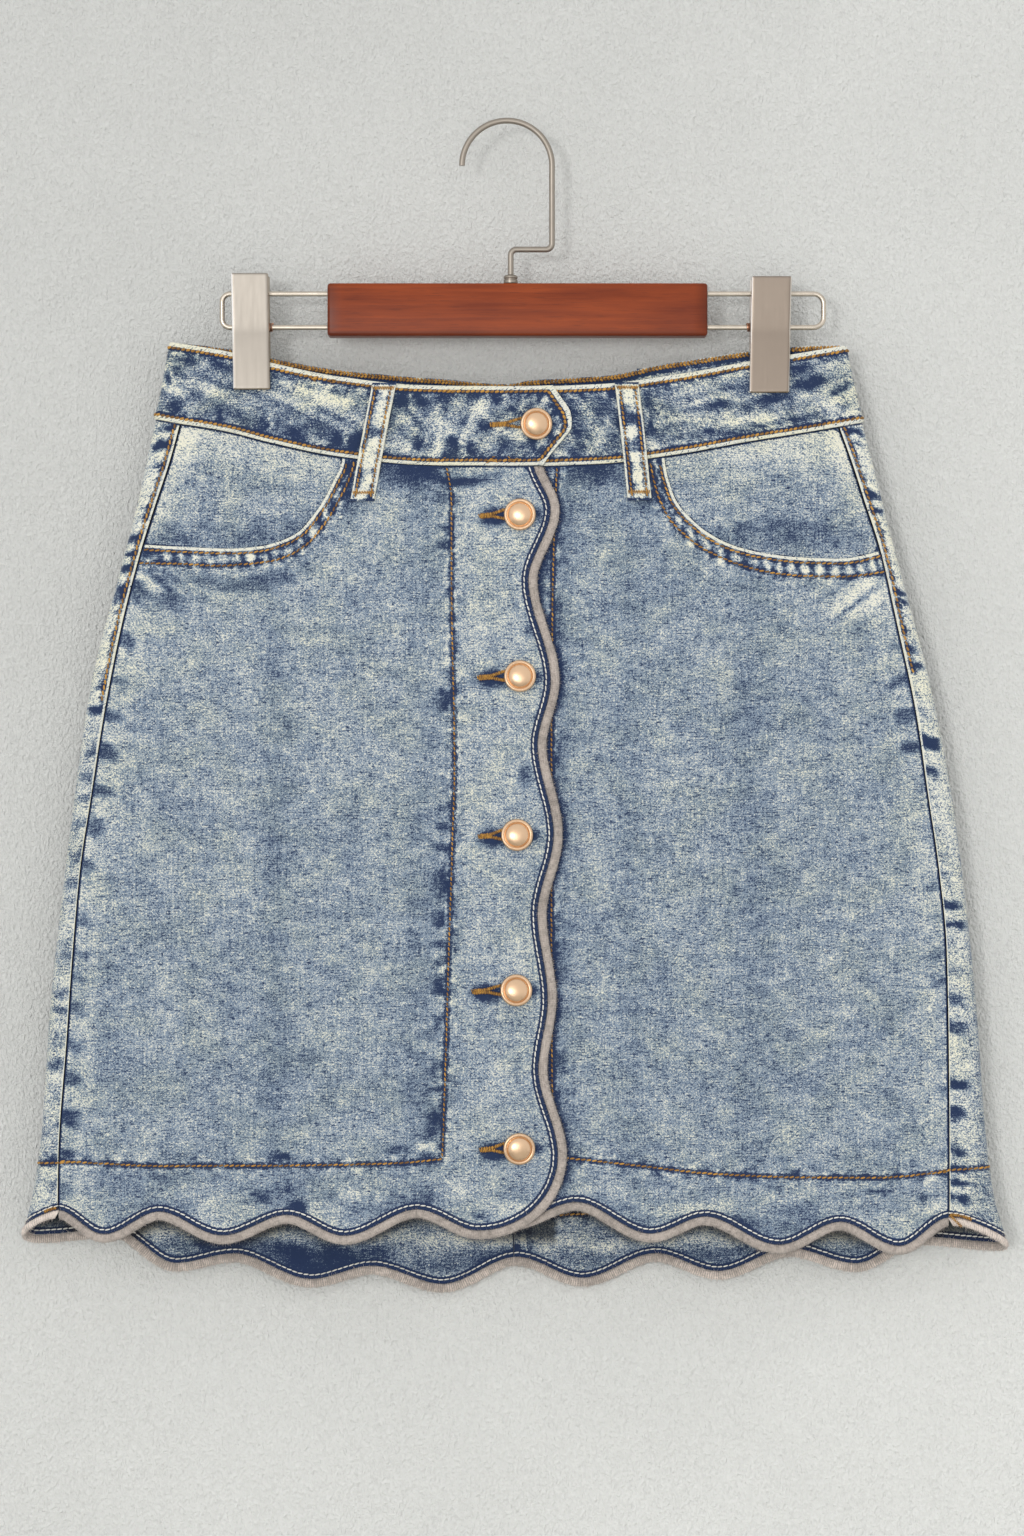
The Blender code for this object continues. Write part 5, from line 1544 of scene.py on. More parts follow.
def buttonhole(sewing, number, cloth_level):
    """A keyhole buttonhole: a knotted end and two wrapped sides that part at the button."""
    bx, bz, start = BUTTONS[number]
    stops = np.linspace(0, 1, 16)
    x = start + (bx - HOLE_END - start) * stops
    for way in (-1, 1):
        part = way * (0.6 + 1.9 * soft_step(stops, 0.35, 1.0))
        z = bz + 0.3 - 1.1 * (1 - stops) + part
        sewing.satin(*laid(on_front, x, z, cloth_level(x, z) + 0.15), 1.9, 0.42, 0.55, 1.0)
    x, z = pair(np.linspace(start - 1.0, start + 1.2, 6), bz - 0.75).T
    sewing.satin(*laid(on_front, x, z, cloth_level(x, z) + 0.3), 2.6, 0.5, 0.6, 1.1)


# ---------------------------------------------------------------- plush edging

def trim_shape(cloth, line, turn, first, last):
    """Rings of a ribbed, flattened roll that lies beyond an edge of the cloth."""
    line = evenly(line, TRIM_STEP)
    outward = aside_of(line, turn)
    numbers = np.arange(len(line))
    for number, direction in ((numbers, first), (numbers[::-1], last)):
        ends = soft_step(number, 0, 6)[:, None]
        outward = outward * ends + np.array(direction) * (1 - ends)
    level = cloth.levels(line)[0] - CLOTH / 2
    along = numbers * TRIM_STEP
    rib = np.cos(2 * math.pi * (along + 0.25 * noise(along / 2.5, 0.0, 5)) / RIB_PITCH)
    fat = 1 + 0.05 * noise(along / 7.0, 3.0, 6)
    rings = []
    for s in range(TRIM_SIDES):
        turned = 2 * math.pi * s / TRIM_SIDES
        out, up = math.cos(turned), math.sin(turned)
        swell = fat + (0.03 + 0.06 * abs(up)) * rib + 0.06 * noise(along / 0.8, s * 1.7, 8)
        swell = np.minimum(swell, 1.12)
        reach = np.maximum(EDGE_UNDER + 0.1 + TRIM_WIDTH * 0.5 * (1 + out * swell), EDGE_UNDER)
        flat = line + outward * reach[:, None]
        rings.append(cloth.surface(*flat.T, level + TRIM_THICK * 0.5 * up * swell))
    return np.stack(rings, 1)


def trim_mesh(name, rings, material, seed, ribs=0.12):
    count, sides = rings.shape[:2]
    faces = np.vstack([grid_faces(count, sides), grid_faces(count, sides, sides - 1, sides)])
    points = rings.reshape(-1, 3)
    middle = rings.mean(1)
    a, b, c = points[faces[0][0]], points[faces[0][1]], points[faces[0][2]]
    caps = np.array([np.arange(sides)[::-1], (count - 1) * sides + np.arange(sides)])
    if np.dot(np.cross(b - a, c - a), a - middle[0]) < 0:
        faces, caps = faces[:, ::-1], caps[:, ::-1]
    caps = caps.tolist()
    ring_of, corner = np.repeat(np.arange(count), sides), np.tile(np.arange(sides), count)
    # Painted light and shade round the roll: its top lighter, its underside darker, over random tone
    # and ribs.
    shade = (0.5 + 0.3 * noise(ring_of / 40.0, 0.5, seed)
             + 0.3 * np.sin(2 * math.pi * corner / sides))
    rib = ring_of * TRIM_STEP / RIB_PITCH + 0.2 * noise(ring_of / 9.0, 1.5, seed)
    shade += ribs * np.cos(2 * math.pi * rib)
    shade += 0.3 * noise(ring_of / 4.0, corner / 1.7, seed + 3)
    return finish_mesh(name, points, faces.tolist() + caps, material, attributes={"shade": shade})


def hairs(name, rings, per_mm, length, material, seed):
    """Fine hairs that stand off a plush roll."""
    random = np.random.default_rng(seed)
    count, sides = rings.shape[:2]
    total = int(count * TRIM_STEP * per_mm)
    r, s = random.integers(1, count - 1, total), random.integers(0, sides, total)
    root = rings[r, s]
    outward = units(root - rings[r].mean(1))
    tangent = units(rings[r + 1, s] - rings[r - 1, s])
    lean = units(outward + tangent * random.normal(0, 0.55, (total, 1))
                 + random.normal(0, 0.25, (total, 3)))
    reach = length * np.minimum(random.gamma(1.6, 0.36, (total, 1)), 2.4)
    aside = units(np.cross(lean, tangent))
    other = np.cross(aside, lean)
    base = root - outward * HAIR_ROOT
    corners = [base + HAIR_THICK * (aside * math.cos(k) + other * math.sin(k))
               for k in (0, 2 * math.pi / 3, 4 * math.pi / 3)]
    points = np.stack(corners + [root + lean * reach], 1).reshape(-1, 3)
    offset = np.arange(total)[:, None, None] * 4
    faces = (np.array([(0, 1, 3), (1, 2, 3), (2, 0, 3), (2, 1, 0)])[None] + offset).reshape(-1, 3)
    shade = np.repeat(0.5 + 0.5 * random.random(total), 4)
    return finish_mesh(name, points, faces.tolist(), material, attributes={"shade": shade})


# ---------------------------------------------------------------- hard pieces, by hand

def deselect():
    if bpy.context.object and bpy.context.object.mode != "OBJECT":
        bpy.ops.object.mode_set(mode="OBJECT")
    bpy.ops.object.select_all(action="DESELECT")


def pick(*pieces):
    """Selects pieces alone, the first one active."""
    deselect()
    for piece in pieces:
        piece.select_set(True)
    bpy.context.view_layer.objects.active = pieces[0]


def started(name):
    """The primitive just added, named."""
    made = bpy.context.object
    made.name = made.data.name = name
    return made


def settle_down(made, material, sharp=35):
    """Applies the piece's place to its mesh, smooths it and gives it its material."""
    pick(made)
    bpy.ops.object.transform_apply(location=True, rotation=True, scale=True)
    bpy.ops.object.shade_smooth_by_angle(angle=math.radians(sharp))
    made.data.materials.clear()
    made.data.materials.append(material)
    return made


def joined(name, pieces):
    pick(*pieces)
    bpy.ops.object.join()
    return started(name)


def outwards(made):
    pick(made)
    bpy.ops.object.mode_set(mode="EDIT")
    bpy.ops.mesh.select_all(action="SELECT")
    bpy.ops.mesh.remove_doubles(threshold=1e-6)
    bpy.ops.mesh.normals_make_consistent(inside=False)
    bpy.ops.object.mode_set(mode="OBJECT")


def block(name, low, high):
    """A plain box between two corners in mm."""
    low, high = np.array(low), np.array(high)
    deselect()
    bpy.ops.mesh.primitive_cube_add(size=1, location=tuple((low + high) / 2 * MM))
    made = started(name)
    made.scale = tuple((high - low) * MM)
    bpy.ops.object.transform_apply(location=True, scale=True)
    return made


def cut_across(places, axis):
    """Cuts the active piece, in edit mode, by planes square to axis 0, 1 or 2."""
    square = [float(n == axis) for n in range(3)]
    for place_at in places:
        bpy.ops.mesh.select_all(action="SELECT")
        bpy.ops.mesh.bisect(plane_co=[place_at * MM * n for n in square], plane_no=square)


def ease_edges(made, width, segments, degrees):
    """Rounds the edges that turn by more than an angle."""
    bevel = made.modifiers.new("eased_edges", "BEVEL")
    bevel.width, bevel.segments = width * MM, segments
    bevel.limit_method, bevel.angle_limit = "ANGLE", math.radians(degrees)
    bpy.ops.object.modifier_apply(modifier=bevel.name)


def lathed(name, profile, segments):
    """A round piece about +Z drawn up from a disc; profile rows are (radius, height) in mm."""
    deselect()
    radius, height = profile[0]
    bpy.ops.mesh.primitive_circle_add(vertices=segments, radius=radius * MM, fill_type="NGON",
                                      location=(0, 0, height * MM))
    made = started(name)
    bpy.ops.object.transform_apply(location=True)
    bpy.ops.object.mode_set(mode="EDIT")
    bpy.ops.mesh.select_all(action="SELECT")
    for new_radius, new_height in profile[1:]:
        bpy.ops.mesh.extrude_region_move(
            TRANSFORM_OT_translate={"value": (0, 0, (new_height - height) * MM)})
        share = new_radius / radius
        bpy.ops.transform.resize(value=(share, share, 1), center_override=(0, 0, 0))
        radius, height = new_radius, new_height
    bpy.ops.object.mode_set(mode="OBJECT")
    outwards(made)
    return made


def rod(name, path, radius, sides=4):
    """A round wire drawn as a curve and made a mesh; sides is the bevel's resolution."""
    curve = bpy.data.curves.new(name, "CURVE")
    curve.dimensions = "3D"
    curve.bevel_depth = radius * MM
    curve.bevel_resolution = sides
    curve.use_fill_caps = True
    line = curve.splines.new("POLY")
    line.points.add(len(path) - 1)
    for point, where in zip(line.points, path):
        point.co = (*(np.asarray(where) * MM), 1)
    made = bpy.data.objects.new(name, curve)
    bpy.context.scene.collection.objects.link(made)
    pick(made)
    bpy.ops.object.convert(target="MESH")
    made = started(name)
    outwards(made)
    return made


def arc(cx, cz, radius, start, end, steps):
    """Points of an arc in the plane of the hanger, from start to end in degrees."""
    turns = np.radians(np.linspace(start, end, steps + 1))
    return [(cx + radius * math.cos(t), 0.0, cz + radius * math.sin(t)) for t in turns]


def copied(source, name):
    """A copy with its own mesh."""
    twin = source.copy()
    twin.data = source.data.copy()
    twin.name = twin.data.name = name
    bpy.context.scene.collection.objects.link(twin)
    return twin


def box_of(node):
    """A node's lowest and highest corners in mm."""
    low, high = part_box(node)
    return np.array(low) / MM, np.array(high) / MM


# ---------------------------------------------------------------- settings

def tint(name, description, default):
    return FloatVectorProperty(name=name, description=description, default=default,
                               subtype="COLOR", min=0, max=1)


class SkirtClothSettings(PropertyGroup):
    """Colours and fineness of the denim"""
    indigo: tint("Indigo", "Unwashed blue of the yarn", (0.0115, 0.0265, 0.078))
    faded: tint("Faded blue", "Blue of the washed cloth", (0.208, 0.274, 0.356))
    cream: tint("Cream", "Bleached threads and worn edges", (0.75, 0.735, 0.625))
    step: FloatProperty(name="Mesh step", description="Spacing of the points in a panel, in mm",
                        default=2.6, min=1.5, max=12)


class SkirtSewingSettings(PropertyGroup):
    """Threads and stitch sizes"""
    orange_dark: tint("Thread shadow", "Darker thread colour", (0.145, 0.066, 0.014))
    orange: tint("Thread", "Topstitch thread colour", (0.56, 0.285, 0.046))
    white: tint("Edge thread", "Thread beside the edging", (0.88, 0.855, 0.775))
    stitch: FloatProperty(name="Stitch length", description="Topstitch length", default=0.0025,
                          min=0.0012, max=0.006, unit="LENGTH")


class SkirtTrimSettings(PropertyGroup):
    """The plush edging"""
    dark: tint("Plush shadow", "Darker nap", (0.25, 0.215, 0.19))
    light: tint("Plush", "Lighter nap", (0.60, 0.52, 0.462))
    hairs_per_mm: FloatProperty(name="Hairs per mm", description="Loose hairs along the edging",
                                default=30.0, min=0, max=40)
    hair_length: FloatProperty(name="Hair length", description="Usual length of a loose hair",
                               default=0.0016, min=0.0002, max=0.004, unit="LENGTH")


class SkirtHardwareSettings(PropertyGroup):
    """Buttons and hanger"""
    rose_gold: tint("Button metal", "Colour of the buttons", (0.735, 0.508, 0.328))
    nickel: tint("Clip metal", "Colour of the left clip", (0.322, 0.290, 0.252))
    # Both clips are of one metal: the right clip's darker copy is painted shade.
    nickel_dark: tint("Shaded clip metal", "Colour of the right clip", (0.265, 0.218, 0.178))
    wire: tint("Hook metal", "Colour of the hook and its collar", (0.345, 0.305, 0.26))
    brass: tint("Rail metal", "Colour of the rails", (0.66, 0.585, 0.49))
    copper: tint("Spring metal", "Colour of the springs", (0.42, 0.22, 0.14))
    wood_dark: tint("Wood shadow", "Dark grain of the bar", (0.137, 0.018, 0.002))
    wood_light: tint("Wood", "Light grain of the bar", (0.278, 0.047, 0.006))
    beads: IntProperty(name="Beads on a button", description="Beads round a button's rim",
                       default=72, min=12, max=80)


class SkirtStudioSettings(PropertyGroup):
    """Wall, floor and light"""
    wall: tint("Wall", "Colour of the wall", (0.728, 0.731, 0.706))
    key_power: FloatProperty(name="Key light", description="Strength of the slanting light",
                             default=0.64, min=0, max=10)
    window_power: FloatProperty(name="Window", description="Power of the broad light in front",
                                default=5.0, min=0, max=500, unit="POWER")
    fill: FloatProperty(name="Fill", description="Strength of the light from all sides",
                        default=1.0, min=0, max=3)


# ---------------------------------------------------------------- operators

class SKIRT_OT_fronts(Operator):
    """Cut both front panels and the denim inside their pocket mouths"""
    bl_idname = "skirt.fronts"
    bl_label = "Front panels and pockets"

    def execute(self, context):
        step = context.scene.skirt_cloth.step
        finish = denim("denim_front", 0.512, 0.75)
        for side, name in SIDES:
            outline = front_outline(side, step)
            holes = [shank_hole(x, z) for x, z, _ in BUTTONS[2:]] if side < 0 else []
            piece = front_cloth(side).make(f"front_panel_{name}", outline, step, finish,
                                           holes=holes)
            stand_for(piece, f"front_{name}")
            outline = facing_outline(side, step)
            lining = Cloth(on_front, lambda x, z: np.full_like(x, -CLOTH - FACING_DROP),
                           thick=FACING_THICK, seed=11, wash=wash_facing,
                           tucks=[waist_line(-190, 190), scoop_line(side),
                                  seam_line(side, seam_top(side), scoop_end(side)[1], GAP)])
            piece = lining.make(f"pocket_lining_{name}", outline, step,
                                denim("denim_pocket", 0.47, 0.8))
            stand_for(piece, f"pocket_facing_{name}")
        return {"FINISHED"}


class SKIRT_OT_backs(Operator):
    """Cut both back panels, which wrap round to the side seams"""
    bl_idname = "skirt.backs"
    bl_label = "Back panels"

    def execute(self, context):
        step = context.scene.skirt_cloth.step
        for side, name in SIDES:
            outline = back_outline(side, step)
            piece = back_cloth(side).make(f"back_panel_{name}", outline, step,
                                          denim("denim_back", 0.5, 1.0, worn=1.25))
            stand_for(piece, f"back_{name}")
        return {"FINISHED"}


class SKIRT_OT_waistband(Operator):
    """Cut the waistband's two halves, the right one with its pointed tab"""
    bl_idname = "skirt.waistband"
    bl_label = "Waistband"

    def execute(self, context):
        for side, name, clip in ((-1, "right", "left"), (1, "left", "right")):
            outline = band_outline(side, BAND_STEP)
            guides = [band_line(side, down)[:-8]
                      for down in (1.1 / BAND_HEIGHT, 1 - 1.1 / BAND_HEIGHT)]
            holes = []
            if side < 0:
                x, z = BUTTONS[1][:2]
                shift = -(half_girth(z) + (x - centre_x(z))) - x
                holes = [shank_hole(x, z) * (-1, 1) + (2 * x + float(shift), 0)]
            piece = band_cloth(side).make(f"waistband_{name}_cloth", outline, BAND_STEP,
                                          denim("denim_waistband", 0.5, 1.05, 0.9, warmth=0.85),
                                          guides=guides, holes=holes)
            stand_for(piece, f"waistband_{name}")
        return {"FINISHED"}


class SKIRT_OT_belt_loops(Operator):
    """Sew the belt loops on the waistband"""
    bl_idname = "skirt.belt_loops"
    bl_label = "Belt loops"

    def execute(self, context):
        sewing = Stitching(seed=17)
        finish = denim("denim_loops", 0.66, 1.0, 0.55, 1.1)
        half = LOOP_WIDTH / 2
        for name, side, top_x, bottom_x in BELT_LOOPS[1:]:
            surface = on_front if side == "front" else on_back
            x = top_x if side == "front" else top_x + centre_x(-140)
            higher = 0.0 if side == "front" else back_rise(x)
            top_z = float(band_top(x) + higher) - LOOP_BELOW_EDGE
            downs = np.linspace(0, 1, 42)
            beside = np.array([half, half - 0.5, half - 1.4, half - 2.4, 1.6])
            across = np.concatenate([-beside, [0], beside[::-1]])
            down, off = (grid.ravel() for grid in np.meshgrid(downs, across, indexing="ij"))
            flat = pair(top_x + (bottom_x - top_x) * down + off, top_z - LOOP_LENGTH * down)
            rise = loop_rise(down)
            border = half - np.abs(off)
            ends = np.minimum(down, 1 - down) * LOOP_LENGTH
            outer = (rise + LOOP_THICK - 0.6 * (1 - soft_step(np.minimum(border, ends), 0, 0.9))
                     - 0.25 * np.exp(-((border - LOOP_SEAM) / 0.8) ** 2)
                     + 0.12 * noise(flat[:, 0] / 3, flat[:, 1] / 4, 91))
            wash = np.clip(noise(flat[:, 0] / 9, flat[:, 1] / 7.0, 92) * 2.6 + 0.45, -1, 0.8)
            # Tuck puts the painted shadow line of a tuck at the loop's ends.
            attributes = {"row": np.abs(border - LOOP_SEAM), "fold": border,
                          "tuck": ends - 0.6, "wash": wash}

            def position(u, z, inner, surface=surface, rise=rise, outer=outer):
                return surface(u, z, rise if inner else outer)
            piece = shell(f"{name}_cloth", flat, grid_faces(len(downs), len(across)), position,
                          attributes, finish)
            stand_for(piece, name)
            for way in (-1, 1):
                stops = np.linspace(0.03, 0.97, 60)
                x = top_x + (bottom_x - top_x) * stops + way * (half - LOOP_SEAM)
                z = top_z - LOOP_LENGTH * stops
                level = loop_rise(stops) + LOOP_THICK - 0.2
                sewing.row(*laid(surface, x, z, level), 2.2, 0.45, 1.0, 0.75, 14)
            for stop in (0.045, 0.93):
                x = top_x + (bottom_x - top_x) * stop
                bartack(sewing, surface, x, top_z - LOOP_LENGTH * stop,
                        float(loop_rise(stop)) + LOOP_THICK - 0.1, LOOP_WIDTH - 1.6, 2.2)
        stand_for(sewing.make("belt_loop_stitching", orange_thread()))
        return {"FINISHED"}


class SKIRT_OT_sewing(Operator):
    """Sew the topstitching, the buttonholes and the rows beside the edging"""
    bl_idname = "skirt.sewing"
    bl_label = "Stitching"

    def execute(self, context):
        length = context.scene.skirt_sewing.stitch / MM
        for side, name in SIDES:
            front, back, band = front_cloth(side), back_cloth(side), band_cloth(side)
            sewing = Stitching(seed=3 + side)
            for number, line in enumerate(front.rows):
                line = line[inside(front_outline(side, 6.0), line)]
                if number == 2:              # the placket's row is finer
                    topstitch(sewing, front, line, length=0.75 * length, space=0.8, width=0.85)
                else:
                    topstitch(sewing, front, line, length=length, width=1.0)
            if side < 0:
                for number in range(2, 7):
                    buttonhole(sewing, number, lap_lift)
            stand_for(sewing.make(f"front_stitching_{name}", orange_thread()))
            sewing = Stitching(seed=13 + side)
            for line in back.rows:
                topstitch(sewing, back, line, length=length, width=1.1)
            topstitch(sewing, back, back.rows[1], length=length, width=1.1, inner=True)
            foot, reach = float(seam_p(side, seam_foot(side))), {-1: 6.5, 1: 11.0}[side]
            p = np.linspace(foot - 1.2, foot - reach, 12)
            path = back.path(pair(side * p, hem_back(side * p) + 0.7))
            sewing.satin(*path, 2.0, 0.42, 0.42, 0.8, lift=0.25)
            if side > 0:
                z = float(hem_back(foot)) + 0.6 - np.linspace(0, 6.0, 10)
                u = np.linspace(foot - 0.6, foot - 3.0, 10)
                sewing.satin(*laid(on_back, u, z, TRIM_THICK / 2 + 0.2), 1.5, 0.5, 0.42, 0.7)
            stand_for(sewing.make(f"back_stitching_{name}", orange_thread()))
            sewing = Stitching(seed=23 + side)
            for line in band.rows:
                topstitch(sewing, band, line, width=1.45, length=2.3, space=0.3, height=1.0,
                          slant=20)
            chain = band_line(side, 1.5 / BAND_HEIGHT)[:250]
            for way in (-1, 1):
                topstitch(sewing, band, offset_line(chain, 0.55, way), width=1.25, length=1.9,
                          space=0.0, height=1.2, slant=36 * way, inner=True)
            if side < 0:
                buttonhole(sewing, 1, lambda x, z: np.full(np.shape(x), BAND_OUT + TAB_LIFT))
                for seed, (x, from_top) in enumerate(BACKTACKS):
                    tangle(sewing, on_front, x, float(band_top(x)) - from_top,
                           BAND_OUT + float(tab_lift(x)), 3.2, 12, seed)
            stand_for(sewing.make(f"waistband_stitching_{name}", orange_thread()))
            edging = Stitching(seed=33 + side)
            edge = lap_edge_line() if side < 0 else hem_line(1)
            p = np.linspace(0, float(seam_p(side, seam_foot(side))) - GAP, 700)
            hem = offset_line(pair(side * p, hem_back(side * p)), EDGE_ROW, side)
            for cloth, line, inner in ((front, offset_line(edge, EDGE_ROW, 1), False),
                                       (back, hem, False), (back, hem, True)):
                topstitch(edging, cloth, line, width=0.75, length=2.7, space=0.45, slant=5,
                          lift=0.15, inner=inner)
            stand_for(edging.make(f"edge_stitching_{name}", white_thread()))
        return {"FINISHED"}


class SKIRT_OT_edging(Operator):
    """Sew the plush edging round the hem and up the front"""
    bl_idname = "skirt.edging"
    bl_label = "Plush edging"

    def execute(self, context):
        trim = context.scene.skirt_trim
        right = lap_edge_line()
        right[-1, 1] -= GAP
        back = back_hem_line()
        back = np.vstack([back[:1] - (1.5, 0), back, back[-1:] + (1.5, 0)])
        cuts = (("front_right", front_cloth(-1), right, (0, -1), (1, 0)),
                ("front_left", front_cloth(1), hem_line(1), (0, -1), (0, -1)),
                ("back", back_cloth(1), back, (0, -1), (0, -1)))
        for number, (name, cloth, line, first, last) in enumerate(cuts):
            rings = trim_shape(cloth, line, -1, first, last)
            # The back's edging gets a paler copy of the nap: painted light, as it lies in shade
            # behind the front's hem.
            nap = plush("plush_back", 1.62) if name == "back" else plush("plush")
            piece = trim_mesh(f"plush_{name}", rings, nap, number, 0.4 if name == "back" else 0.14)
            stand_for(piece, f"trim_{name}")
            fluff = hairs(f"plush_hairs_{name}", rings, trim.hairs_per_mm, trim.hair_length / MM,
                          nap, 50 + number)
            stand_for(fluff)
        return {"FINISHED"}


class SKIRT_OT_buttons(Operator):
    """Turn one domed button with a beaded rim and set its copies down the front"""
    bl_idname = "skirt.buttons"
    bl_label = "Buttons"

    def execute(self, context):
        hardware = context.scene.skirt_hardware
        finish = metal("rose_gold", hardware.rose_gold, 0.33, (900, 900, 900), 0.12)
        profile = [(8.0, 0.0), (8.5, 0.5), (8.6, 1.3), (8.35, 2.0), (7.9, 2.3), (7.0, 2.3),
                   (6.6, 1.9), (6.35, 1.55), (6.25, 1.6)]
        swell = np.radians((12, 24, 36, 48, 60, 72, 82, 88))
        dome = [(6.25 * math.cos(t), 2.0 + 2.3 * math.sin(t)) for t in swell]
        cap = lathed("button", profile + dome, 64)
        beads = []
        count = hardware.beads
        for number in range(count):
            turn = 2 * math.pi * number / count
            deselect()
            bpy.ops.mesh.primitive_ico_sphere_add(
                subdivisions=1, radius=BEAD_SIZE * MM,
                location=(BEAD_RING * MM * math.cos(turn), BEAD_RING * MM * math.sin(turn),
                          BEAD_HEIGHT * MM),
                rotation=(0, 0, turn))
            bead = started("bead")
            bead.scale = (1.5, 0.75, 0.75)
            beads.append(bead)
        cap = joined("button", [cap] + beads)
        cap.rotation_euler = (math.radians(90), 0, 0)
        settle_down(cap, finish, 60)
        for number in range(1, 7):
            x, z, _ = BUTTONS[number]
            low, high = box_of(f"button_{number}")
            back = low[1] + BUTTON_BACK
            piece = copied(cap, f"button_{number}_cap")
            piece.location = (x * MM, back * MM, z * MM)
            aside, upwards = BUTTON_TILTS[number - 1]
            piece.rotation_euler = (math.radians(-upwards), 0, math.radians(aside))
            shank = lathed(f"shank_{number}", [(1.9, 0.0), (1.9, high[1] - back)], 20)
            shank.rotation_euler = (math.radians(90), 0, 0)
            shank.location = (x * MM, high[1] * MM, z * MM)
            settle_down(shank, finish)
            settle_down(piece, finish, 60)
            piece = joined(f"button_{number}_cap", [piece, shank])
            stand_for(piece, f"button_{number}")
        bpy.data.objects.remove(cap)
        return {"FINISHED"}


class SKIRT_OT_hook_and_bar(Operator):
    """Bend the hook, turn its collar and shape the wooden bar"""
    bl_idname = "skirt.hook_and_bar"
    bl_label = "Hook and bar"

    def execute(self, context):
        hardware = context.scene.skirt_hardware
        steel = metal("satin_wire", hardware.wire, 0.42, (300, 300, 40), 0.15)
        line = arc(0, -22.7, 24.3, 180, 0, 48)
        line += arc(21.1, -64.8, 3.2, 0, -90, 10)
        line += arc(5.2, -71.2, 3.2, 90, 180, 10)
        line.append((2.0, 0.0, -81.6))
        hook = rod("hook", line, 1.6, sides=5)
        stand_for(settle_down(hook, steel), "hanger_hook")

        low, high = box_of("hook_collar")
        tall = high[2] - low[2]
        collar = lathed("collar", [(3.3, 0.0), (3.75, 0.3), (3.8, 0.9), (3.8, tall * 0.42),
                                   (3.4, tall * 0.5), (3.4, tall * 0.58), (3.8, tall * 0.66),
                                   (3.7, tall * 0.85), (3.0, tall)], 32)
        collar.location = (2.0 * MM, 0, low[2] * MM)
        stand_for(settle_down(collar, steel), "hook_collar")

        low, high = box_of("hanger_bar")
        bar = block("bar", low, high)
        bpy.ops.object.mode_set(mode="EDIT")
        shares = np.array([0.04, 0.3, 0.55, 0.8, 0.96])
        cut_across(low[0] + (high[0] - low[0]) * shares, 0)
        bpy.ops.object.mode_set(mode="OBJECT")
        ease_edges(bar, 1.7, 4, 30)
        stand_for(settle_down(bar, wood("stained_wood"), 40), "hanger_bar")
        return {"FINISHED"}


class SKIRT_OT_clips(Operator):
    """Bend the rails and make the clips that pinch the waistband, with their springs"""
    bl_idname = "skirt.clips"
    bl_label = "Rails and clips"

    def execute(self, context):
        hardware = context.scene.skirt_hardware
        brass = metal("rail_brass", hardware.brass, 0.28, (40, 500, 500), 0.3)
        # Each clip's eased edges get painted highlights and its downward faces painted shade; the
        # right clip's darker metal is painted shade too.
        finishes = {"left": metal_with_painted_edge_light("satin_nickel", hardware.nickel,
                                        (1.0, 0.98, 0.95), (0.42, 0.36, 0.29)),
                    "right": metal_with_painted_edge_light("satin_nickel_dark", hardware.nickel_dark,
                                         (0.80, 0.75, 0.70), (0.75, 0.70, 0.64))}
        copper = metal("spring_copper", hardware.copper, 0.35, (400, 400, 400), 0.3)
        for name, start, end, bend in RAILS:
            way = 1 if end > start else -1
            turned = 90 - way * 90
            line = [(start, 0.0, RAIL_UPPER)]
            line += arc(end - way * bend, RAIL_UPPER - bend, bend, 90, turned, 12)
            line += arc(end - way * bend, RAIL_LOWER + bend, bend, turned, turned - way * 90, 12)
            line.append((start, 0.0, RAIL_LOWER))
            stand_for(settle_down(rod(f"rail_{name}_rod", line, 1.4, sides=4), brass),
                      f"rail_{name}")
        for name, *shape in CLIPS:
            for facing, face in ((-1, "front"), (1, "back")):
                plate = self.plate(f"clip_{name}_{face}_plate", facing, *shape)
                stand_for(settle_down(plate, finishes[name], 30), f"clip_{name}_{face}")
            low, high = box_of(f"clip_{name}_spring")
            along = (high[0] - low[0] - 1.0) * np.linspace(0, 1, 420)
            angle = along * 2 * math.pi          # one coil each millimetre
            path = np.stack([low[0] + 0.5 + along, SPRING_RADIUS * np.cos(angle),
                             RAIL_LOWER + SPRING_RADIUS * np.sin(angle)], -1)
            spring = rod(f"clip_{name}_coil", path, 0.46, sides=1)
            stand_for(settle_down(spring, copper), f"clip_{name}_spring")
        return {"FINISHED"}

    def plate(self, name, facing, centre, width, top, bottom, lean):
        """A plate bent to pinch at its foot: a bar cut across, its cuts moved, its edges eased."""
        half = width / 2
        made = block(name, (-half, -CLIP_THICK / 2, bottom), (half, CLIP_THICK / 2, top))
        bpy.ops.object.mode_set(mode="EDIT")
        cut_across((top - CLIP_RIM, -96, -104, RAIL_LOWER, -114, -120, bottom + CLIP_RIM), 2)
        cut_across((CLIP_RIM - half, half - CLIP_RIM), 0)
        bpy.ops.object.mode_set(mode="OBJECT")
        gap = column((("z", "gap"), (-150, CLIP_GAP), (-120, CLIP_GAP), (RAIL_LOWER, CLIP_PINCH),
                      (-82, CLIP_OPEN)), "gap")
        for vertex in made.data.vertices:
            x, y, z = vertex.co
            height = z / MM
            inner = float(gap(height))
            if height > RAIL_LOWER:
                opened = (height - RAIL_LOWER) / (top - RAIL_LOWER)
                inner = CLIP_PINCH + (CLIP_OPEN - CLIP_PINCH) * opened
            deep = inner + (CLIP_THICK if y * facing > 0 else 0.0)
            vertex.co = (x + (centre + lean * (height - (top + bottom) / 2)) * MM,
                         facing * deep * MM, z)
        outwards(made)
        ease_edges(made, 0.9, 3, 50)
        return made


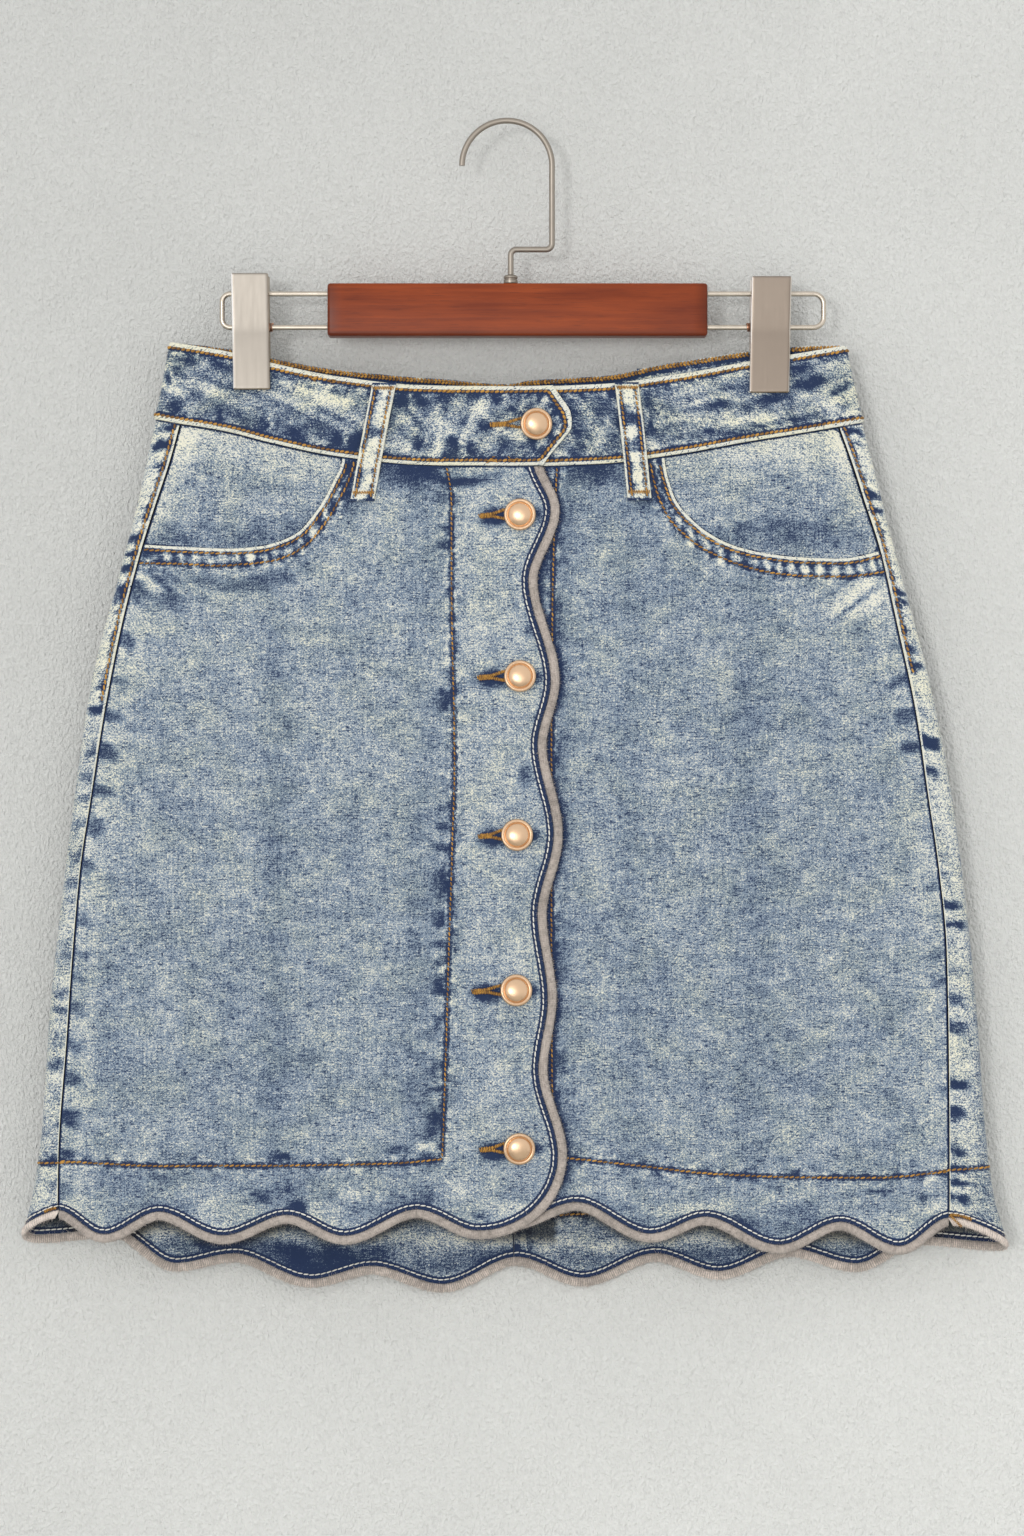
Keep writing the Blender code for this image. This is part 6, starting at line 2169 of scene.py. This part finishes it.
class SKIRT_OT_studio(Operator):
    """Set up the wall, floor, lights and camera"""
    bl_idname = "skirt.studio"
    bl_label = "Studio"

    def execute(self, context):
        studio = context.scene.skirt_studio
        plaster, shader, g = new_material("plaster", 0.9)
        where = g.place()
        fine = g.grain(g.scaled(where, (640, 640, 450)), 1.0, 3.0, 0.6)
        broad = g.grain(where, 9.0, 2.0)
        across, _, up = g.parts(where)
        # A painted light gradient: the wall paler towards the right and the bottom.
        painted_light_gradient = g.scaled_sum(across, 0.42, g.scaled_sum(up, -0.46, -0.16))
        cloud = g.scaled_sum(fine, 0.42, g.scaled_sum(broad, 0.24, 0.45))
        dark, pale = ([min(1, share * c) for c in studio.wall] for share in (0.79, 1.21))
        join(g, g.mix(g.math("ADD", cloud, painted_light_gradient), dark, pale), shader.inputs["Base Color"])
        bumped(g, shader, fine, 0.0027)
        side = g.add("ShaderNodeNewGeometry").outputs["Backfacing"]
        clear = g.add("ShaderNodeBsdfTransparent").outputs[0]
        mixed = g.add("ShaderNodeMixShader", {0: side, 1: shader.outputs[0], 2: clear}).outputs[0]
        join(g, mixed, plaster.node_tree.nodes["Material Output"].inputs["Surface"])
        for name, place_at, turn, size in (("wall", (0, 0.0245, -0.35), 90, 4.0),
                                           ("floor", (0, -1.2, -1.30), 0, 3.6)):
            deselect()
            bpy.ops.mesh.primitive_plane_add(size=size, location=place_at,
                                             rotation=(math.radians(turn), 0, 0))
            made = started(name)
            bpy.ops.object.transform_apply(location=True, rotation=True)
            made.data.materials.append(plaster)
        sun = bpy.data.lights.new("sun", "SUN")
        sun.energy, sun.angle = studio.key_power, math.radians(10)
        window = bpy.data.lights.new("window", "AREA")
        window.shape, window.size, window.energy = "DISK", 1.0, studio.window_power
        for light, place_at, aim in ((sun, (-0.36, -1.0, 0.04), (0, 0, 0)),
                                     (window, (-0.22, -2.3, -0.48), (0, 0, -0.40))):
            lamp = bpy.data.objects.new(light.name, light)
            lamp.location = place_at
            towards = Vector(aim) - Vector(place_at)
            lamp.rotation_euler = towards.to_track_quat("-Z", "Y").to_euler()
            context.scene.collection.objects.link(lamp)
        world = bpy.data.worlds.new("studio")
        world.use_nodes = True
        backdrop = world.node_tree.nodes["Background"].inputs
        backdrop["Color"].default_value = (1.0, 1.0, 1.0, 1)
        backdrop["Strength"].default_value = studio.fill
        context.scene.world = world
        camera = bpy.data.cameras.new("camera")
        camera.sensor_width, camera.lens = 36.0, 86.8
        seen = bpy.data.objects.new("camera", camera)
        seen.location = (0.0027, -2.0, -0.348)
        seen.rotation_euler = (math.radians(90), 0, 0)
        context.scene.collection.objects.link(seen)
        context.scene.camera = seen
        context.scene.view_settings.view_transform = "Standard"
        return {"FINISHED"}


class SKIRT_PT_panel(Panel):
    """Lists the steps that dress the skirt"""
    bl_idname = "SKIRT_PT_panel"
    bl_label = "Skirt"
    bl_space_type = "VIEW_3D"
    bl_region_type = "UI"
    bl_category = "Skirt"

    def draw(self, context):
        for settings in SETTINGS:
            box = self.layout.box()
            group = getattr(context.scene, settings)
            for key in group.bl_rna.properties.keys():
                if key not in ("rna_type", "name"):
                    box.prop(group, key)
        for step in STEPS:
            self.layout.operator(step.bl_idname)


STEPS = (SKIRT_OT_studio, SKIRT_OT_fronts, SKIRT_OT_backs, SKIRT_OT_waistband,
         SKIRT_OT_belt_loops, SKIRT_OT_sewing, SKIRT_OT_edging, SKIRT_OT_buttons,
         SKIRT_OT_hook_and_bar, SKIRT_OT_clips)
SETTINGS = {"skirt_cloth": SkirtClothSettings, "skirt_sewing": SkirtSewingSettings,
            "skirt_trim": SkirtTrimSettings, "skirt_hardware": SkirtHardwareSettings,
            "skirt_studio": SkirtStudioSettings}


CLASSES = (*SETTINGS.values(), *STEPS, SKIRT_PT_panel)


def register():
    for kind in CLASSES:
        bpy.utils.register_class(kind)
    for key, kind in SETTINGS.items():
        setattr(bpy.types.Scene, key, PointerProperty(type=kind))


def unregister():
    for key in SETTINGS:
        delattr(bpy.types.Scene, key)
    for kind in reversed(CLASSES):
        bpy.utils.unregister_class(kind)


def main():
    register()
    bpy.ops.skirt.studio()
    bpy.ops.skirt.fronts()
    bpy.ops.skirt.backs()
    bpy.ops.skirt.waistband()
    bpy.ops.skirt.belt_loops()
    bpy.ops.skirt.sewing()
    bpy.ops.skirt.edging()
    bpy.ops.skirt.buttons()
    bpy.ops.skirt.hook_and_bar()
    bpy.ops.skirt.clips()


if __name__ == "__main__":
    main()
